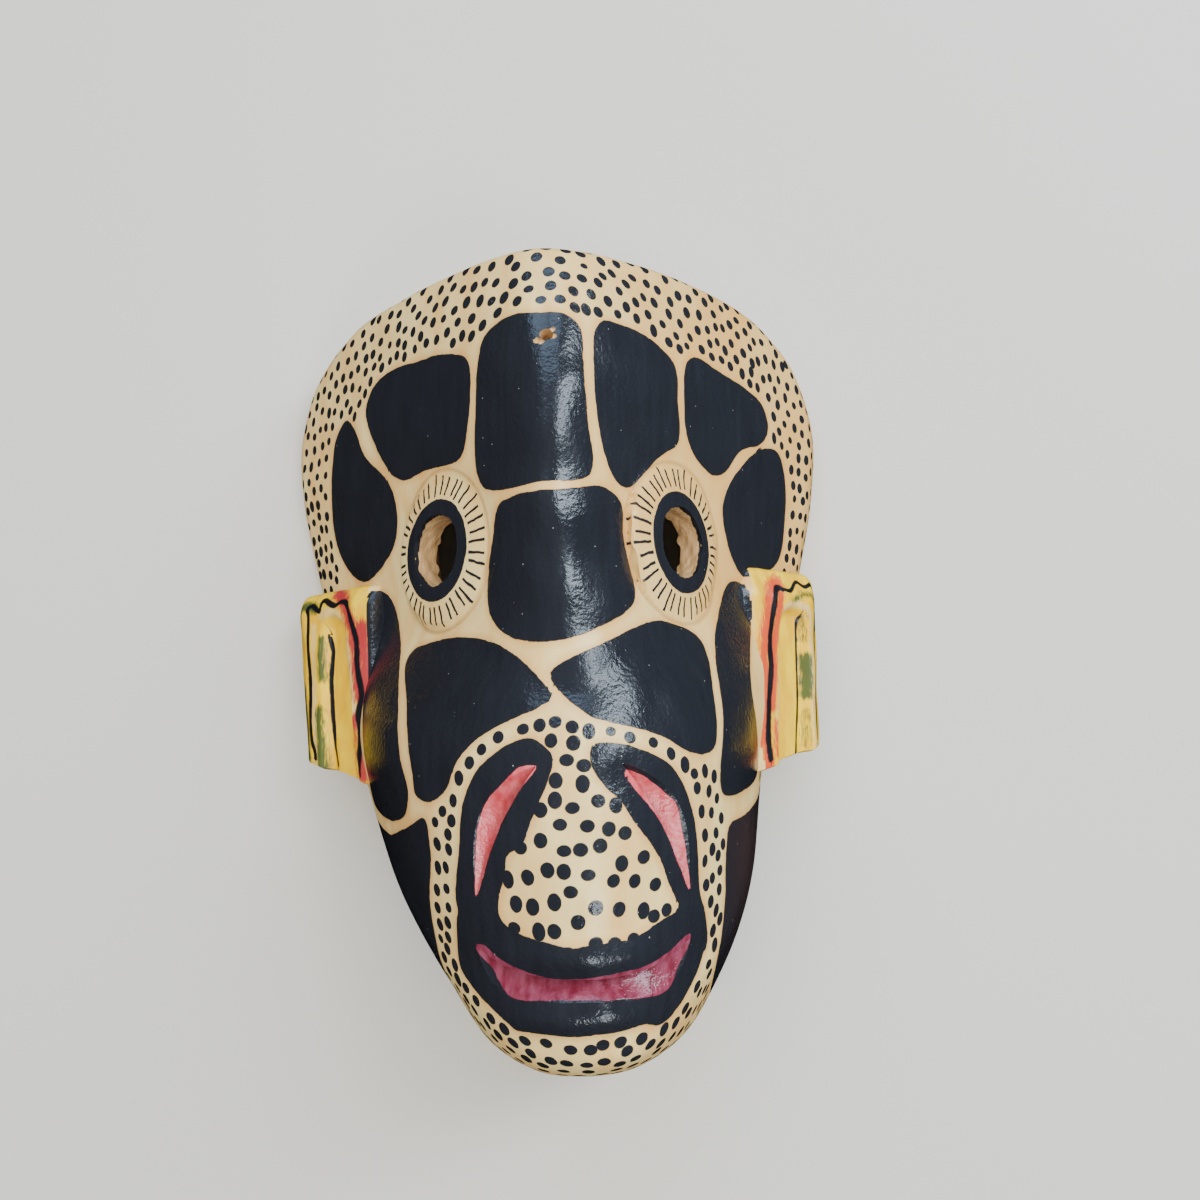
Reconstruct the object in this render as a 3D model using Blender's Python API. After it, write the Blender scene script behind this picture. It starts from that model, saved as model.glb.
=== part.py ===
"""A carved wooden tigre mask, lying face up on the rim of its hollow back.

Metres in Blender, millimetres in the sizes below. +Z is out of the face, +Y towards the
forehead and +X towards the right of someone who looks at the mask. The origin is under the
middle of the mask, on the surface that its rim rests on.
"""

import math

import bmesh
import bpy
import numpy as np
from mathutils import Matrix, Vector

MM = 0.001

# The sizes below count y from between the eyes and the nose: the whole mask is then centred in y
MIDDLE_Y = 1.95

# Rim: the outline of the flat back, as points (half width, y) from the top round to the chin
RIM_HALF = (
    (0.0, 117.0), (40.0, 116.4), (63.0, 112.3), (78.8, 99.5), (86.0, 78.5), (85.0, 57.5),
    (80.5, 35.5), (72.0, 3.5), (63.5, -30.5), (55.0, -62.5), (45.0, -85.5), (32.5, -102.7),
    (16.0, -111.3), (0.0, -113.2),
)
RIM_STEPS = 14
RIM_WIDTH = 9.0
CHIN_LEAN = 6.2
CHIN_LEAN_FROM = -20.0
CHIN_LEAN_OVER = 70.0

# Ridge down the middle of the face, which leans to the right on its way down
RIDGE_X_TOP = 2.0
RIDGE_LEAN = 5.0
RIDGE_LEAN_FROM = 40.0
RIDGE_LEAN_OVER = 90.0

# Upper face: two side planes that would meet at PEAK, fall off at KEEL and meet in a round of ROUND
PEAK = ((-30.0, 112.0), (20.0, 110.0), (60.0, 109.0), (115.0, 107.0))
KEEL = ((-30.0, 1.5), (20.0, 1.35), (40.0, 1.27), (60.0, 1.18), (85.0, 1.14), (115.0, 1.12))
ROUND = ((-30.0, 14.0), (0.0, 12.0), (30.0, 10.0), (70.0, 11.0), (85.0, 13.5), (100.0, 18.0), (115.0, 24.0))

# Muzzle: a barrel as high as CROWN and as wide as BARREL_HALF, whose sides turn down by BARREL_POWER
CROWN = (
    (-115.0, 79.0), (-100.0, 86.0), (-85.0, 92.0), (-70.0, 96.5), (-55.0, 100.0),
    (-40.0, 101.5), (-20.0, 100.5), (0.0, 98.5), (20.0, 99.0),
)
BARREL_HALF = ((-115.0, 52.0), (-85.0, 54.0), (-62.0, 58.0), (-30.0, 63.5), (4.0, 72.0), (36.0, 80.0))
BARREL_POWER = 0.68
MUZZLE_FROM = 22.0
MUZZLE_OVER = 50.0

# Outer wall: its steepness, and how widely it is rounded into the face
WALL_SLOPE = 6.0
WALL_ROUND = 18.0
CHIN_ROUND = 42.0
TOP_ROUND = 12.0

# Lips: two low rolls above and below the mouth
LIP_RISE = 1.6
LIP_AWAY = 6.5
LIP_WIDE = 3.6

# Hollow back
WALL_THICK = 10.0
HOLLOW_BELOW = 6.0

# Mesh of the face and of the hollow, in squares from edge to edge
FACE_SQUARES = 44
HOLLOW_SQUARES = 28
FACE_SHARE = 0.73
RAY_STEPS = 90

# Eyes: round discs that face more to the front than the cheek they sit on, each bored through
# in its middle. Each has its middle, x and y, and the angle that it turns out by.
EYES = {"left": (-27.3, 27.2, math.radians(-44.7)), "right": (32.3, 27.7, math.radians(51.5))}
EYE_DISC = ((21.0, -9.0), (20.4, -0.6), (19.6, 0.7), (17.5, 1.7), (13.0, 2.4))
# The bore's cutter, radius and height: straight through the front, then flared at the back, where
# the wood is thinned so that the wearer sees out.
EYE_HOLE = ((9.3, 40.0), (9.3, -4.4), (20.0, -10.8), (20.0, -22.0))
EYE_SIDES = 32

# Hole in the forehead that a nail or a cord goes through
HANG_X = 1.6
HANG_Y = 73.0
HANG_RADIUS = 1.6
HANG_LONG = 60.0

# Nostrils: crescent scoops, deepest along the edge that lies next to the nose
NOSE_X = 7.0
NOSTRIL_TOP = (9.0, -26.5)
NOSTRIL_LOW = (23.5, -55.0)
NOSTRIL_INNER_BOW = 1.5
NOSTRIL_OUTER_BOW = 7.0
NOSTRIL_DEPTH = 4.0
NOSTRIL_STATIONS = 12

# Mouth: a groove with a steep upper wall and a long lower slope
MOUTH_X = 6.8
MOUTH_HALF = 24.0
MOUTH_TIP_Y = -65.5
MOUTH_UPPER_Y = -71.0
MOUTH_LOWER_Y = -76.0
MOUTH_DEPTH = 4.2
MOUTH_FOLD = 0.3
MOUTH_STATIONS = 18
CUTTER_LIFT = 5.0
CUTTER_PAST = 1.6

# Ears: slabs that flare from the cheek, with an arched channel open at the lower end
EAR_INNER_X = 51.5
EAR_INNER_Z = 44.5
EAR_SLOPE = math.radians(38.0)
EAR_BURIED = 9.0
EAR_THICK = 12.0
EAR_LOW_Y = -33.5
EAR_LOW_RISE = 8.0
EAR_CORNER = 6.0
EAR_CORNER_DROP = 4.5
# Each ear's side, top, width at the top and width at the lower end
EARS = {"left": (-1, 24.5, 39.6, 33.0), "right": (1, 27.0, 38.2, 35.6)}
EAR_FALL = 3.0
EAR_FALL_TO = 10.0
# The step down from an ear's upper part to the cheek: how deep, where across the ear it starts,
# how wide it is, and how far below the ear's top it has run out and over what length.
EAR_STEP = 8.0
EAR_STEP_FROM = 4.0
EAR_STEP_WIDE = 4.0
EAR_STEP_LOW = 32.0
EAR_STEP_LONG = 14.0
EAR_OUTER_FALL = 2.5
EAR_OUTER_EDGE = 6.5
# The channel of each ear: how far below the ear's top it starts, and its two edges, across the
# ear, at its top and at its low end.
CHANNELS = {"left": (7.5, (13.5, 25.0), (5.5, 23.0)), "right": (10.5, (18.5, 31.5), (13.0, 30.0))}
CHANNEL_DEPTH = 3.2
CHANNEL_EDGE = 3.5
EAR_ACROSS = 20
EAR_ALONG = 16

WOOD = (0.72, 0.50, 0.26, 1.0)
WOOD_ROUGHNESS = 0.45


def smooth(t):
    """0 to 1 along t from 0 to 1, level at both ends."""
    t = np.clip(t, 0.0, 1.0)
    return t * t * (3.0 - 2.0 * t)


def along(y, stations):
    """The value at y of a smooth curve through (place, value) stations."""
    place = np.array([s[0] for s in stations])
    value = np.array([s[1] for s in stations])
    lean = np.gradient(value, place)
    y = np.clip(y, place[0], place[-1])
    i = np.clip(np.searchsorted(place, y) - 1, 0, len(place) - 2)
    step = place[i + 1] - place[i]
    t = (y - place[i]) / step
    rise = t * t * (3.0 - 2.0 * t)
    start = t * (1.0 - t) ** 2 * step * lean[i]
    end = t * t * (1.0 - t) * step * lean[i + 1]
    return value[i] * (1.0 - rise) + value[i + 1] * rise + start - end


def lower_of(a, b, width):
    """The lower of two heights, rounded where they cross."""
    mix = np.clip(0.5 + 0.5 * (b - a) / width, 0.0, 1.0)
    return b * (1.0 - mix) + a * mix - width * mix * (1.0 - mix)


def chin_lean(y):
    return CHIN_LEAN * smooth((CHIN_LEAN_FROM - y) / CHIN_LEAN_OVER)


def ridge_x(y):
    return RIDGE_X_TOP + RIDGE_LEAN * smooth((RIDGE_LEAN_FROM - y) / RIDGE_LEAN_OVER)


def rim_curve():
    """The closed rim outline as a fine polyline, before the chin's lean."""
    right = [np.array(p) for p in RIM_HALF]
    left = [p * (-1.0, 1.0) for p in reversed(right[1:-1])]
    points = right + left
    count = len(points)
    curve = []
    for i in range(count):
        before, start, end, after = (points[(i + k) % count] for k in (-1, 0, 1, 2))
        gaps = [math.sqrt(np.linalg.norm(q - p)) for p, q in ((before, start), (start, end), (end, after))]
        leave = end - start + gaps[1] * ((start - before) / gaps[0] - (end - before) / (gaps[0] + gaps[1]))
        arrive = end - start + gaps[1] * ((after - end) / gaps[2] - (after - start) / (gaps[1] + gaps[2]))
        for t in np.arange(RIM_STEPS) / RIM_STEPS:
            rise = t * t * (3.0 - 2.0 * t)
            bend = t * (1.0 - t) ** 2 * leave - t * t * (1.0 - t) * arrive
            curve.append(start * (1.0 - rise) + end * rise + bend)
    return np.array(curve)


RIM = rim_curve()


def rim_distance(x, y):
    """How far each point is inside the rim outline."""
    points = np.stack([(x - chin_lean(y)).ravel(), y.ravel()], axis=1)
    nearest = np.full(len(points), np.inf)
    for start, end in zip(RIM, np.roll(RIM, -1, axis=0)):
        side = end - start
        t = np.clip((points - start) @ side / (side @ side), 0.0, 1.0)[:, None]
        nearest = np.minimum(nearest, ((points - start - t * side) ** 2).sum(axis=1))
    return np.sqrt(nearest).reshape(x.shape)


def lips(x, y):
    middle = 0.5 * (MOUTH_UPPER_Y + MOUTH_LOWER_Y)
    across = np.clip(np.abs(x - MOUTH_X) / MOUTH_HALF, 0.0, 1.0)
    rolls = sum(np.exp(-(((y - middle - side * LIP_AWAY) / LIP_WIDE) ** 2)) for side in (-1, 1))
    return LIP_RISE * rolls * (1.0 - across**3)


def face_height(x, y, skin=0.0):
    """Height of the carved face without its outer wall, or of the hollow, which is deeper by skin."""
    out = x - ridge_x(y)
    keel = along(y, KEEL)
    roof = along(y, PEAK) - skin * np.sqrt(1.0 + keel**2) - keel * np.hypot(out, along(y, ROUND) + 0.3 * skin)
    lean = ridge_x(y) - chin_lean(y)
    half = along(y, BARREL_HALF) - skin - np.sign(out) * lean
    barrel = (along(y, CROWN) - skin) * (1.0 - np.clip(np.abs(out) / half, 0.0, 0.995) ** 2) ** BARREL_POWER
    muzzle = smooth((MUZZLE_FROM - y) / MUZZLE_OVER)
    face = roof * (1.0 - muzzle) + barrel * muzzle
    return face if skin else face + lips(x, y)


def wall_height(x, y, skin=0.0):
    return WALL_SLOPE * (rim_distance(x, y) - (RIM_WIDTH if skin else 0.0))


def carved_height(x, y, skin=0.0):
    """The face and its outer wall, rounded into each other."""
    face = face_height(x, y, skin)
    width = WALL_ROUND + CHIN_ROUND * smooth((-y - 55.0) / 35.0) + TOP_ROUND * smooth((y - 80.0) / 25.0)
    return lower_of(face, wall_height(x, y, skin), np.clip(width, 1.0, np.maximum(face, 1.0)))


def reach_of_rim(turn, inset):
    """The way from the middle to the rim in each direction, less the inset."""
    rim = RIM + np.stack([chin_lean(RIM[:, 1]), np.zeros(len(RIM))], axis=1)
    ahead = np.roll(rim, -1, axis=0) - np.roll(rim, 1, axis=0)
    outward = np.stack([-ahead[:, 1], ahead[:, 0]], axis=1)
    rim = rim - inset * outward / np.linalg.norm(outward, axis=1)[:, None]
    bearing = np.arctan2(rim[:, 1], rim[:, 0])
    return np.interp(turn, *(a[np.argsort(bearing)] for a in (bearing, np.hypot(*rim.T))), period=math.tau)


def share_of_run(share, out, height):
    """The distance out, for each row, at which a share of the way over its profile is covered."""
    run = np.hypot(np.diff(out, axis=1), np.diff(height, axis=1))
    run = np.concatenate([np.zeros((len(out), 1)), np.cumsum(run, axis=1)], axis=1)
    return np.array([np.interp(s * r[-1], r, o) for s, r, o in zip(share, run, out)])


def surface_points(u, v, skin=0.0):
    """Places for points of a square of side 2: its inner part covers the face, its edge part the wall."""
    square = np.maximum(np.abs(u), np.abs(v))
    steep = np.abs(v) > np.abs(u)
    major = np.where(steep, v, u)
    minor = np.where(steep, u, v)
    eighth = math.pi / 4.0 * minor / np.where(major == 0.0, 1.0, major)
    turn = np.where(steep, math.pi / 2.0 - eighth, eighth) + np.where(major < 0.0, math.pi, 0.0)

    reach = reach_of_rim(turn, RIM_WIDTH if skin else 0.0)
    cos = np.cos(turn)[:, None]
    sin = np.sin(turn)[:, None]
    out = reach[:, None] * (1.0 - (1.0 - np.linspace(0.0, 1.0, RAY_STEPS)) ** 2)
    over = face_height(out * cos, out * sin, skin) < wall_height(out * cos, out * sin, skin)
    arris = np.array([row[np.flatnonzero(keep)[-1]] for row, keep in zip(out, over)])
    on_face = arris[:, None] * np.linspace(0.0, 1.0, RAY_STEPS)
    on_wall = arris[:, None] + (reach - arris)[:, None] * np.linspace(0.0, 1.0, RAY_STEPS)
    inner, outer = (
        share_of_run(share, way, carved_height(way * cos, way * sin, skin))
        for share, way in (
            (np.clip(square / FACE_SHARE, 0.0, 1.0), on_face),
            (np.clip((square - FACE_SHARE) / (1.0 - FACE_SHARE), 0.0, 1.0), on_wall),
        )
    )
    radius = np.where(square < FACE_SHARE, inner, outer)
    x = radius * np.cos(turn)
    y = radius * np.sin(turn)
    height = np.where(square > 0.9999, 0.0, np.maximum(carved_height(x, y, skin), 0.05))
    return x, y, height


def height_at(x, y):
    return float(carved_height(np.array([x]), np.array([y]))[0])


def outward_at(x, y, step=1.0):
    """The face's normal at a point."""
    slope_x = (height_at(x + step, y) - height_at(x - step, y)) / (2.0 * step)
    slope_y = (height_at(x, y + step) - height_at(x, y - step)) / (2.0 * step)
    return Vector((-slope_x, -slope_y, 1.0)).normalized()


def new_collection(name):
    collection = bpy.data.collections.new(name)
    bpy.context.scene.collection.children.link(collection)
    return collection


def new_object(name, bm, collection):
    bmesh.ops.translate(bm, verts=bm.verts, vec=(0.0, -MIDDLE_Y * MM, 0.0))
    bmesh.ops.recalc_face_normals(bm, faces=bm.faces)
    mesh = bpy.data.meshes.new(name)
    bm.to_mesh(mesh)
    bm.free()
    obj = bpy.data.objects.new(name, mesh)
    collection.objects.link(obj)
    return obj


def new_helper(name, bm, collection):
    """A shape that is joined to the mask or cut from it."""
    obj = new_object(name, bm, collection)
    obj.hide_render = True
    obj.display_type = "WIRE"
    return obj


def add_boolean(target, helper, operation):
    modifier = target.modifiers.new(helper.name, "BOOLEAN")
    modifier.operation = operation
    modifier.solver = "EXACT"
    modifier.object = helper


def split_outward(bm):
    """Cut every quad along the diagonal that stands out more, so that a rounded form keeps no notches."""
    bm.normal_update()
    for face in list(bm.faces):
        a, b, c, d = face.verts
        stands_out = (a.co + c.co - b.co - d.co).dot(face.normal) > 0.0
        bmesh.utils.face_split(face, *((a, c) if stands_out else (b, d)))


def domed_block(squares, skin=0.0, below=0.0):
    """The space under the face surface as a closed mesh, carried below the rim by below."""
    bm = bmesh.new()
    bmesh.ops.create_grid(bm, x_segments=squares, y_segments=squares, size=1.0)
    u, v = (np.array([vert.co[k] for vert in bm.verts]) for k in (0, 1))
    x, y, z = surface_points(u, v, skin)
    for vert, place in zip(bm.verts, zip(x, y, z)):
        vert.co = Vector(place) * MM
    split_outward(bm)
    edge = [e for e in bm.edges if e.is_boundary]
    if below:
        pulled = bmesh.ops.extrude_edge_only(bm, edges=edge)["geom"]
        for item in pulled:
            if isinstance(item, bmesh.types.BMVert):
                item.co.z = -below * MM
        edge = [item for item in pulled if isinstance(item, bmesh.types.BMEdge)]
    bmesh.ops.contextual_create(bm, geom=edge)
    return bm


def cone_between(radius_low, radius_high, depth, sides, matrix):
    bm = bmesh.new()
    bmesh.ops.create_cone(
        bm, cap_ends=True, segments=sides, radius1=radius_low * MM, radius2=radius_high * MM,
        depth=depth * MM, matrix=matrix,
    )
    return bm


def facing(direction, place):
    """A frame whose Z looks along direction, at a place in millimetres."""
    turn = direction.to_track_quat("Z", "Y").to_matrix().to_4x4()
    return Matrix.Translation(Vector(place) * MM) @ turn


def loft(sections):
    """A closed mesh through sections of equal point counts, whose ends are capped."""
    bm = bmesh.new()
    rings = [[bm.verts.new(Vector(point) * MM) for point in section] for section in sections]
    sides = len(rings[0])
    for ring, following in zip(rings, rings[1:]):
        for k in range(sides):
            bm.faces.new((ring[k], ring[(k + 1) % sides], following[(k + 1) % sides], following[k]))
    bm.faces.new(rings[0])
    bm.faces.new(rings[-1])
    return bm


def eye_frame(x, y, turn):
    """The frame of an eye: its middle on the cheek, its Z out of the eye."""
    return facing(Vector((math.sin(turn), 0.0, math.cos(turn))), (x, y, height_at(x, y)))


def eye_disc(frame):
    """A low round, softly edged, whose lower part is inside the cheek."""
    turns = [math.tau * k / EYE_SIDES for k in range(EYE_SIDES)]
    bm = loft([[(r * math.cos(a), r * math.sin(a), z) for a in turns] for r, z in EYE_DISC])
    bmesh.ops.transform(bm, matrix=frame, verts=bm.verts)
    return bm


def eye_hole(frame):
    turns = [math.tau * k / EYE_SIDES for k in range(EYE_SIDES)]
    bm = loft([[(r * math.cos(a), r * math.sin(a), z) for a in turns] for r, z in EYE_HOLE])
    bmesh.ops.transform(bm, matrix=frame, verts=bm.verts)
    return bm


def hanging_hole():
    place = (HANG_X, HANG_Y, height_at(HANG_X, HANG_Y))
    outward = outward_at(HANG_X, HANG_Y)
    return cone_between(HANG_RADIUS, HANG_RADIUS, HANG_LONG, 12, facing(outward, place))


def on_face(x, y):
    return Vector((x, y, height_at(x, y)))


def nostril(side):
    """A crescent wedge: its floor starts at the outer edge and is deepest under the nose's edge."""
    top = Vector((*NOSTRIL_TOP, 0.0))
    low = Vector((*NOSTRIL_LOW, 0.0))
    chord = low - top
    aside = Vector((-chord.y, chord.x, 0.0)).normalized()
    sections = []
    for k in range(NOSTRIL_STATIONS + 1):
        t = 0.02 + 0.96 * k / NOSTRIL_STATIONS
        bow = math.sin(math.pi * t**0.85)
        flat = top + chord * t
        inner = flat + aside * NOSTRIL_INNER_BOW * bow
        outer = flat + aside * max(NOSTRIL_OUTER_BOW * bow, NOSTRIL_INNER_BOW * bow + 0.4)
        ends = [on_face(NOSE_X + side * p.x, p.y) for p in (inner, outer)]
        up = outward_at(NOSE_X + side * flat.x, flat.y)
        deep = NOSTRIL_DEPTH * bow**0.7
        fold = ends[0] - up * deep
        sections.append((fold, fold.lerp(ends[1], CUTTER_PAST), ends[0] + up * CUTTER_LIFT))
    return loft(sections)


def mouth():
    sections = []
    for k in range(MOUTH_STATIONS + 1):
        s = -0.985 + 1.97 * k / MOUTH_STATIONS
        x = MOUTH_X + MOUTH_HALF * s
        upper_y = MOUTH_UPPER_Y + (MOUTH_TIP_Y - MOUTH_UPPER_Y) * abs(s) ** 3
        lower_y = min(MOUTH_LOWER_Y + (MOUTH_TIP_Y - MOUTH_LOWER_Y) * abs(s) ** 8, upper_y - 0.5)
        upper = on_face(x, upper_y)
        lower = on_face(x, lower_y)
        up = outward_at(x, 0.5 * (upper_y + lower_y))
        deep = MOUTH_DEPTH * (1.0 - s**4) + 0.3
        fold = upper.lerp(lower, MOUTH_FOLD) - up * deep
        sections.append((fold, fold.lerp(upper, CUTTER_PAST), fold.lerp(lower, CUTTER_PAST)))
    return loft(sections)


def ear_relief(across, wide, down, channel_top, channel_from, channel_to):
    """Depth below the ear's crest: it falls off to the cheek and to its edges, round an arched channel."""
    half = 0.5 * (channel_to - channel_from)
    above = np.maximum(channel_top + half - down, 0.0)
    inside = half - np.hypot(across - channel_from - half, above)
    channel = CHANNEL_DEPTH * smooth(inside / CHANNEL_EDGE)
    to_cheek = EAR_FALL * smooth(1.0 - across / EAR_FALL_TO)
    step = EAR_STEP * smooth((EAR_STEP_FROM - across) / EAR_STEP_WIDE)
    step = step * smooth((EAR_STEP_LOW - down) / EAR_STEP_LONG)
    to_edge = EAR_OUTER_FALL * smooth((across - wide) / EAR_OUTER_EDGE + 1.0)
    to_top = EAR_OUTER_FALL * smooth(1.0 - down / (channel_top - 1.0))
    return channel + to_cheek + step + np.hypot(to_edge, to_top)


def ear(side, top_y, top_wide, low_wide, channel_top, edges_at_top, edges_at_low):
    """A slab whose front slopes down and out from the cheek, with its inner edge buried in it."""
    bm = bmesh.new()
    bmesh.ops.create_grid(bm, x_segments=EAR_ACROSS, y_segments=EAR_ALONG, size=1.0)
    down_slope = Vector((side * math.cos(EAR_SLOPE), 0.0, -math.sin(EAR_SLOPE)))
    outward = Vector((side * math.sin(EAR_SLOPE), 0.0, math.cos(EAR_SLOPE)))
    start = Vector((side * EAR_INNER_X, 0.0, EAR_INNER_Z))
    back = {}
    for vert in bm.verts:
        up = (vert.co.y + 1.0) / 2.0
        wide = low_wide + (top_wide - low_wide) * up
        across = -EAR_BURIED + (wide + EAR_BURIED) * (vert.co.x + 1.0) / 2.0
        past = max(across - (wide - EAR_CORNER), 0.0) / EAR_CORNER
        top = top_y - EAR_CORNER_DROP * (1.0 - math.sqrt(1.0 - min(past, 1.0) ** 2))
        low = EAR_LOW_Y + EAR_LOW_RISE * max(across, 0.0) / low_wide
        y = low + (top - low) * up
        flat = start + down_slope * across + Vector((0.0, y, 0.0))
        edges = [at_low + (at_top - at_low) * up for at_top, at_low in zip(edges_at_top, edges_at_low)]
        sunk = float(ear_relief(across, wide, top - y, channel_top, *edges))
        vert.co = (flat - outward * sunk) * MM
        back[vert] = (flat - outward * EAR_THICK) * MM
    edge = [e for e in bm.edges if e.is_boundary]
    edge_verts = {v for e in edge for v in e.verts}
    pulled = bmesh.ops.extrude_edge_only(bm, edges=edge)["geom"]
    for item in pulled:
        if isinstance(item, bmesh.types.BMVert):
            source = min(edge_verts, key=lambda v: (v.co - item.co).length_squared)
            item.co = back[source]
    bmesh.ops.contextual_create(bm, geom=[item for item in pulled if isinstance(item, bmesh.types.BMEdge)])
    return bm


def wood_material():
    material = bpy.data.materials.new("painted_wood")
    material.use_nodes = True
    shader = material.node_tree.nodes["Principled BSDF"]
    shader.inputs["Base Color"].default_value = WOOD
    shader.inputs["Roughness"].default_value = WOOD_ROUGHNESS
    shader.inputs["Metallic"].default_value = 0.0
    return material


for old in list(bpy.data.objects):
    bpy.data.objects.remove(old)

parts = new_collection("tigre_mask")
helpers = new_collection("joined_and_cut")

mask = new_object("tigre_mask", domed_block(FACE_SQUARES), parts)
mask.data.materials.append(wood_material())
for word, (side, *sizes) in EARS.items():
    add_boolean(mask, new_helper(f"{word}_ear", ear(side, *sizes, *CHANNELS[word]), helpers), "UNION")
    add_boolean(mask, new_helper(f"{word}_eye_disc", eye_disc(eye_frame(*EYES[word])), helpers), "UNION")
hollow = domed_block(HOLLOW_SQUARES, WALL_THICK, HOLLOW_BELOW)
add_boolean(mask, new_helper("hollow", hollow, helpers), "DIFFERENCE")
for word, (side, *_) in EARS.items():
    add_boolean(mask, new_helper(f"{word}_eye_hole", eye_hole(eye_frame(*EYES[word])), helpers), "DIFFERENCE")
    add_boolean(mask, new_helper(f"{word}_nostril", nostril(side), helpers), "DIFFERENCE")
add_boolean(mask, new_helper("mouth", mouth(), helpers), "DIFFERENCE")
add_boolean(mask, new_helper("hanging_hole", hanging_hole(), helpers), "DIFFERENCE")
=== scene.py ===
"""A carved wooden tigre mask, painted in glossy enamels, lying face up on its back rim."""

import math

import bmesh
import bpy
import numpy as np
from mathutils import Matrix, Vector
from mathutils.kdtree import KDTree


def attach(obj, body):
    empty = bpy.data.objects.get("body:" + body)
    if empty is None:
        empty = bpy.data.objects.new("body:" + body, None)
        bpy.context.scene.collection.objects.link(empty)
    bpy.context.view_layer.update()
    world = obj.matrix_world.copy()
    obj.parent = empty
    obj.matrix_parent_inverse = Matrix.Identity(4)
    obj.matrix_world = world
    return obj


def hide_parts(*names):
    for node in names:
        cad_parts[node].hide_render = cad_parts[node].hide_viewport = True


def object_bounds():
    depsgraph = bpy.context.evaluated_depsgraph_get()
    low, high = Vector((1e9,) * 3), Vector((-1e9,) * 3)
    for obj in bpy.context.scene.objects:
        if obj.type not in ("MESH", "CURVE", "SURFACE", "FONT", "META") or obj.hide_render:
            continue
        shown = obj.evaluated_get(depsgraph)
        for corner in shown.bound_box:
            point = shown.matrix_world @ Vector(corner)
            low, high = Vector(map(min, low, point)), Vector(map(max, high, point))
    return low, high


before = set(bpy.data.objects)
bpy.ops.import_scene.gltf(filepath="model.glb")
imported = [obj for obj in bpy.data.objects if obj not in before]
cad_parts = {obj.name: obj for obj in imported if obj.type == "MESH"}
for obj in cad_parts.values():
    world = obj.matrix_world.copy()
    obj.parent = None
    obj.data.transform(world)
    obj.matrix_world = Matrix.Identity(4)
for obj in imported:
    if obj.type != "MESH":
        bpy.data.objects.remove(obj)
cad_box = [list(corner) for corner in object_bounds()]


# The block: half a log, hewn to a keeled forehead and a blunt muzzle, then rounded off with a
# knife. Its faces stay slightly uneven, as a blade leaves them. The sizes are those of the
# solid, in mm, and y is counted from between the eyes and the nose until the mesh is made.

MM = 0.001
MIDDLE_Y = 1.95
RIM_HALF = (
    (0.0, 117.0), (40.0, 116.4), (63.0, 112.3), (78.8, 99.5), (86.0, 78.5), (85.0, 57.5),
    (80.5, 35.5), (72.0, 3.5), (63.5, -30.5), (55.0, -62.5), (45.0, -85.5), (32.5, -102.7),
    (16.0, -111.3), (0.0, -113.2),
)
RIM_WIDTH = 9.0
RIDGE_X = 2.0
RIDGE_LEAN = 5.0
CHIN_LEAN = 6.2
PEAK = ((-30.0, 112.0), (20.0, 110.0), (60.0, 109.0), (115.0, 107.0))
KEEL = ((-30.0, 1.5), (20.0, 1.35), (40.0, 1.27), (60.0, 1.18), (85.0, 1.14), (115.0, 1.12))
ROUND = (
    (-30.0, 14.0), (0.0, 12.0), (30.0, 10.0), (70.0, 11.0), (85.0, 13.5), (100.0, 18.0), (115.0, 24.0),
)
CROWN = (
    (-115.0, 79.0), (-100.0, 86.0), (-85.0, 92.0), (-70.0, 96.5), (-55.0, 100.0),
    (-40.0, 101.5), (-20.0, 100.5), (0.0, 98.5), (20.0, 99.0),
)
BARREL_HALF = (
    (-115.0, 52.0), (-85.0, 54.0), (-62.0, 58.0), (-30.0, 63.5), (4.0, 72.0), (36.0, 80.0),
)
BARREL_POWER = 0.68
MUZZLE_FROM_Y = 22.0
MUZZLE_BLEND = 50.0
ARRIS_ROUND = 18.0
CHIN_ROUND = 42.0
CROWN_ROUND = 12.0
WALL_SLOPE = 6.0
WALL_THICK = 10.0
MOUTH_X = 6.8
MOUTH_HALF = 24.0
MOUTH_UPPER_Y = -71.0
MOUTH_LOWER_Y = -76.0
LIP_RISE = 1.6
LIP_AWAY = 6.5
LIP_WIDE = 3.6
FACE_SQUARES = 236
HOLLOW_SQUARES = 84
FACE_SHARE = 0.73
RAYS = 480
RAY_STEPS = 100


def smooth(t):
    """0 to 1 along t from 0 to 1, level at both ends."""
    t = np.clip(t, 0.0, 1.0)
    return t * t * (3.0 - 2.0 * t)


def along(y, stations):
    """The value at y of a smooth curve through (place, value) stations."""
    place = np.array([s[0] for s in stations])
    value = np.array([s[1] for s in stations])
    lean = np.gradient(value, place)
    y = np.clip(y, place[0], place[-1])
    i = np.clip(np.searchsorted(place, y) - 1, 0, len(place) - 2)
    step = place[i + 1] - place[i]
    t = (y - place[i]) / step
    rise = t * t * (3.0 - 2.0 * t)
    start = t * (1.0 - t) ** 2 * step * lean[i]
    end = t * t * (1.0 - t) * step * lean[i + 1]
    return value[i] * (1.0 - rise) + value[i + 1] * rise + start - end


def lower_of(a, b, width):
    """The lower of two heights, rounded where they cross."""
    mix = np.clip(0.5 + 0.5 * (b - a) / width, 0.0, 1.0)
    return b * (1.0 - mix) + a * mix - width * mix * (1.0 - mix)


def chin_lean(y):
    return CHIN_LEAN * smooth((-20.0 - y) / 70.0)


def ridge_x(y):
    return RIDGE_X + RIDGE_LEAN * smooth((40.0 - y) / 90.0)


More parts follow.
